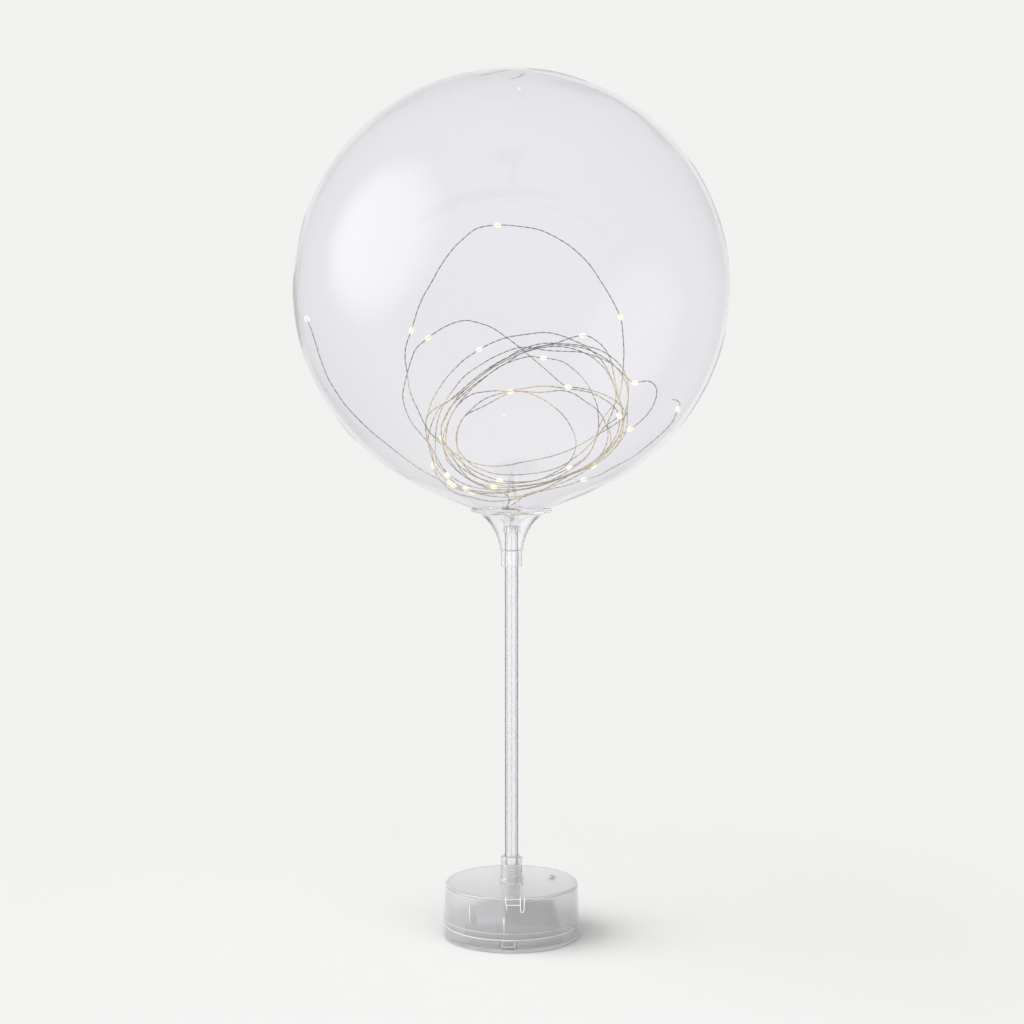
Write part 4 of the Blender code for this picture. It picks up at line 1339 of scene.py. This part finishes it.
class HousingOperator(bpy.types.Operator):
    """Makes the base's housing with its boss, guide, catch and moulded ribs"""
    bl_idname = "balloon_light.housing"
    bl_label = "Base housing"

    def execute(self, context):
        stand = ready(context)[2]
        plastic = clear_plastic("housing_plastic", stand.base_tint, stand.blur, stand.milk,
                                grain_scale=75.0, coat=1.0)
        housing = turned("housing", self.outline(), stand.facets, plastic, closed=True)
        lip = FOOT_RADIUS - HOUSING_WALL - FIT
        front = lip + CATCH_STEP
        catch_z = COVER_FLOOR + CATCH_LIFT
        catch = block("catch", (CATCH_X - CATCH_HALF, -front, catch_z),
                      (CATCH_X + CATCH_HALF, -lip + LIP_WALL / 2, HOUSING_Z + BAND_HEIGHT / 3))
        groove_z = (catch_z + HOUSING_Z) / 2
        groove = block("groove", (CATCH_X - GROOVE_HALF, -front - CUT_PAST, groove_z - GROOVE_RISE),
                       (CATCH_X + GROOVE_HALF, -front + GROOVE_DEPTH, groove_z + GROOVE_RISE))
        join_or_cut(catch, groove, "DIFFERENCE")
        join_or_cut(housing, catch, "UNION")
        over, under = BASE_TOP + CUT_PAST, BASE_TOP - CUT_PAST
        hole = turned("hole", [(0, over), (SCREW_BORE, over), (SCREW_BORE, under), (0, under)], 24, plastic)
        middle = (SCREW_LOW + SCREW_HIGH) / 2
        for vert in hole.data.vertices:
            vert.co += Vector((middle.x, middle.y, 0))
        join_or_cut(housing, hole, "DIFFERENCE")
        smooth_by_angle(housing, 40)
        dress(housing, "housing_plastic", "base_housing")
        self.ribs(stand)
        return {"FINISHED"}

    def outline(self):
        top = BASE_TOP
        boss_top = top + BOSS_HEIGHT
        foot = FOOT_RADIUS - BAND_STEP
        head = foot - WALL_DRAFT
        lip = FOOT_RADIUS - HOUSING_WALL - FIT
        ceiling = top - TOP_WALL
        band = HOUSING_Z + BAND_HEIGHT
        wall_top = top - TOP_ROUND
        wall = [(head + (foot - head) * i / 6, wall_top + (band + BAND_STEP - wall_top) * i / 6)
                for i in range(1, 7)]
        return [
            (WIRE_BORE, boss_top),
            (BOSS_RADIUS - BOSS_ROUND, boss_top),
            (BOSS_RADIUS, boss_top - BOSS_ROUND),
            (BOSS_RADIUS, top + BOSS_FILLET),
            (BOSS_RADIUS + BOSS_FILLET, top),
            *arc((head - TOP_ROUND, wall_top), TOP_ROUND, 90, 0, 10),
            *wall,
            *arc((foot, band), BAND_STEP, 70, 0, 4),
            *arc((FOOT_RADIUS - JOINT_ROUND, HOUSING_Z + JOINT_ROUND), JOINT_ROUND, 0, -90, 3),
            (lip, HOUSING_Z),
            (lip, HOUSING_Z - LIP_HEIGHT),
            (lip - LIP_WALL, HOUSING_Z - LIP_HEIGHT),
            (lip - LIP_WALL, HOUSING_Z),
            (foot - HOUSING_WALL, band),
            (head - HOUSING_WALL, ceiling),
            (GUIDE_RADIUS, ceiling),
            (GUIDE_RADIUS, ceiling - GUIDE_DEPTH),
            (WIRE_BORE, ceiling - GUIDE_DEPTH),
        ]

    def ribs(self, stand):
        """Thin moulded edges on the front wall, by the pixels where they are seen, and round the band, in
        painted highlight white.
        """
        finish = painted_highlight_finish()
        for name, radius, runs in (("wall_ribs", RIB_RADIUS, WALL_RIBS_PX),
                                   ("catch_ribs", RIB_RADIUS, CATCH_RIBS_PX),
                                   ("faint_ribs", FAINT_RIB_RADIUS, FAINT_RIBS_PX)):
            lines = [even_route([on_wall(*px, RIB_DISTANCE) for px in run], RIB_STEP) for run in runs]
            ribs = grow(line_object(name, lines), rod_tree(),
                        {"Radius": radius, "Sides": 8, "Material": finish})
            dress(ribs, "housing_plastic")
        for name, radius, height in HIGHLIGHT_RINGS:
            ring = arc((radius, height), EDGE_RADIUS, 0, 315, 7)
            edge = turned(name, ring, stand.facets, finish, closed=True, sharp=80)
            dress(edge, "housing_plastic")


class CoverOperator(bpy.types.Operator):
    """Makes the battery cover with the cells' tray and the catch's window"""
    bl_idname = "balloon_light.cover"
    bl_label = "Battery cover"

    def execute(self, context):
        stand = ready(context)[2]
        plastic = clear_plastic("cover_plastic", stand.cover_tint, stand.blur, stand.milk,
                                grain_scale=90.0, coat=1.0)
        inner = FOOT_RADIUS - HOUSING_WALL
        outline = [
            (0, COVER_FLOOR),
            (inner - COVER_FILLET, COVER_FLOOR),
            (inner, COVER_FLOOR + COVER_FILLET),
            (inner, COVER_TOP),
            *arc((FOOT_RADIUS - JOINT_ROUND, COVER_TOP - JOINT_ROUND), JOINT_ROUND, 90, 0, 3),
            *arc((FOOT_RADIUS - FOOT_ROUND, FOOT_ROUND), FOOT_ROUND, 0, -90, 6),
            (0, 0),
        ]
        cover = turned("cover", outline, stand.facets, plastic)
        half_x, half_y = self.tray_size()
        tray = block("tray", (TRAY_X - half_x - TRAY_WALL, -half_y - TRAY_WALL, COVER_FLOOR / 2),
                     (TRAY_X + half_x + TRAY_WALL, half_y + TRAY_WALL, TRAY_TOP))
        room = block("room", (TRAY_X - half_x, -half_y, COVER_FLOOR),
                     (TRAY_X + half_x, half_y, TRAY_TOP + CUT_PAST))
        join_or_cut(tray, room, "DIFFERENCE")
        join_or_cut(cover, tray, "UNION")
        half = CATCH_HALF + CATCH_PLAY
        window = block("window", (CATCH_X - half, -FOOT_RADIUS - CUT_PAST, COVER_FLOOR),
                       (CATCH_X + half, -inner + CUT_PAST / 2, COVER_TOP + CUT_PAST))
        join_or_cut(cover, window, "DIFFERENCE")
        smooth_by_angle(cover, 40)
        dress(cover, "cover_plastic", "battery_cover")
        return {"FINISHED"}

    def tray_size(self):
        left_low, left_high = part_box("contact_left")
        return TRAY_X - left_low.x + FIT, left_high.y + FIT


class CellsOperator(bpy.types.Operator):
    """Makes the three cells"""
    bl_idname = "balloon_light.cells"
    bl_label = "Cells"

    def execute(self, context):
        stand = ready(context)[2]
        wrap = cell_finish(stand)
        for number in (1, 2, 3):
            self.cell(number, wrap)
        return {"FINISHED"}

    def cell(self, number, wrap):
        low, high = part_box(f"battery_{number}")
        radius = (high.z - low.z) / 2
        full = high.x - low.x
        body = full - NUB_HEIGHT
        groove_top, groove_middle, groove_foot = WRAP_GROOVE
        outline = [
            (0, full),
            *arc((NUB_RADIUS - NUB_ROUND, full - NUB_ROUND), NUB_ROUND, 90, 0, 3),
            (NUB_RADIUS, body + 0.0001),
            (END_RADIUS, body),
            *arc((radius - WRAP_SHOULDER, body - WRAP_SHOULDER), WRAP_SHOULDER, 90, 0, 5),
            (radius, body - groove_top),
            (radius - GROOVE_SINK, body - groove_middle),
            (radius, body - groove_foot),
            (radius, 0.0008),
            *arc((radius - WRAP_FOOT, WRAP_FOOT), WRAP_FOOT, 0, -90, 4),
            (END_RADIUS + 0.0002, 0),
            (END_RADIUS, 0.0002),
            (0, 0.0002),
        ]
        cell = turned(f"cell_{number}", outline, 64, wrap, sharp=40)
        heading = -1 if number == 2 else 1
        set_down(cell, (low + high) / 2, lambda x, y, z: (heading * (z - full / 2), y, -heading * x))
        dress(cell, "cell_wrap", f"battery_{number}")


class ContactsOperator(bpy.types.Operator):
    """Makes the contact plates with their coil springs, the screw's finish and the lead up the pole"""
    bl_idname = "balloon_light.contacts"
    bl_label = "Contacts, screw and lead"

    def execute(self, context):
        steel = plated_steel("contact_steel", *CONTACT_STEEL)
        for side, name, rows in ((-1, "contact_left", (1, 3)), (1, "contact_right", (2,))):
            self.contact(side, name, rows, steel)
        bright = plated_steel("screw_steel", *SCREW_STEEL, grain_scale=1400.0)
        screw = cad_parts["top_screw"]
        screw.data.materials.clear()
        screw.data.materials.append(bright)
        self.lead()
        return {"FINISHED"}

    def contact(self, side, name, rows, steel):
        low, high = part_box(name)
        outer = high.x if side > 0 else low.x
        inner = outer - side * PLATE_THICKNESS
        shape = bmesh.new()
        flat = [(low.y, low.z), (high.y, low.z)]
        flat += arc((high.y - PLATE_CORNER, high.z - PLATE_CORNER), PLATE_CORNER, 0, 90, 5)
        flat += arc((low.y + PLATE_CORNER, high.z - PLATE_CORNER), PLATE_CORNER, 90, 180, 5)
        near = [shape.verts.new((inner, y, z)) for y, z in flat]
        far = [shape.verts.new((outer, y, z)) for y, z in flat]
        shape.faces.new(near)
        shape.faces.new(reversed(far))
        for k in range(len(flat)):
            shape.faces.new((near[k - 1], near[k], far[k], far[k - 1]))
        bmesh.ops.recalc_face_normals(shape, faces=shape.faces)
        plate = new_object(name + "_plate", mesh_of(shape, name), steel)
        edge = plate.modifiers.new("Edge", "BEVEL")
        edge.width = PLATE_EDGE
        edge.segments = 2
        keep_result(plate)
        smooth_by_angle(plate, 30)
        dress(plate, "contact_steel", name)
        for row in rows:
            cell_low, cell_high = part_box(f"battery_{row}")
            gap = (inner - cell_high.x) if side > 0 else (cell_low.x - inner)
            spring = helix(f"spring_{row}", {
                "Turns": SPRING_TURNS, "Foot radius": SPRING_FOOT, "Top radius": SPRING_TOP,
                "Height": gap - 2 * SPRING_WIRE, "Wire radius": SPRING_WIRE, "Sides": 8}, steel)
            middle = (cell_low + cell_high) / 2
            set_down(spring, Vector((inner, middle.y, middle.z)),
                     lambda x, y, z: (-side * (z + SPRING_WIRE), y, side * x))
            dress(spring, "contact_steel")

    def lead(self):
        """The pair of lacquered wires from the left contact, over the cells and up the pole."""
        low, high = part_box("lead_wire")
        start = Vector((low.x, 0, 0)) + Vector(LEAD_START)
        route = [start, start + Vector(LEAD_RISE)]
        route += [Vector((start.x * share, start.y * share, height)) for share, height in LEAD_OVER_CELLS]
        route += [Vector((0, 0, height)) for height in (*LEAD_UP, high.z)]
        copper = lacquered_wire("lead_copper", *LEAD_COPPER)
        lead = grow(line_object("lead_pair", [even_route(route, LEAD_ROUTE_STEP)]), twisted_pair_tree(), {
            "Strand radius": LEAD_STRAND, "Strand offset": LEAD_OFFSET, "Twist length": LEAD_TWIST,
            "Step": LEAD_STEP, "Sides": 8, "Material": copper})
        dress(lead, "lead_copper", "lead_wire")


class BalloonLightPanel(bpy.types.Panel):
    """Lists the pieces and their sizes"""
    bl_idname = "VIEW3D_PT_balloon_light"
    bl_label = "Balloon light"
    bl_space_type = "VIEW_3D"
    bl_region_type = "UI"
    bl_category = "Balloon light"

    def draw(self, context):
        for operator in OPERATORS:
            self.layout.operator(operator.bl_idname)
        for group in ready(context):
            box = self.layout.box()
            for name in group.__annotations__:
                box.prop(group, name)


SETTINGS = {"film": FilmSettings, "strings": StringSettings, "stand": StandSettings, "studio": StudioSettings}
OPERATORS = (StudioOperator, StringsOperator, FilmOperator, CupOperator, PoleOperator, HousingOperator,
             CoverOperator, CellsOperator, ContactsOperator)


def register():
    for kind in (*SETTINGS.values(), *OPERATORS, BalloonLightPanel):
        bpy.utils.register_class(kind)
    for name, kind in SETTINGS.items():
        setattr(bpy.types.Scene, name, PointerProperty(type=kind))


def unregister():
    for name in SETTINGS:
        delattr(bpy.types.Scene, name)
    for kind in reversed((*SETTINGS.values(), *OPERATORS, BalloonLightPanel)):
        bpy.utils.unregister_class(kind)


def main():
    register()
    for operator in OPERATORS:
        getattr(bpy.ops.balloon_light, operator.bl_idname.split(".")[1])()


if __name__ == "__main__":
    main()
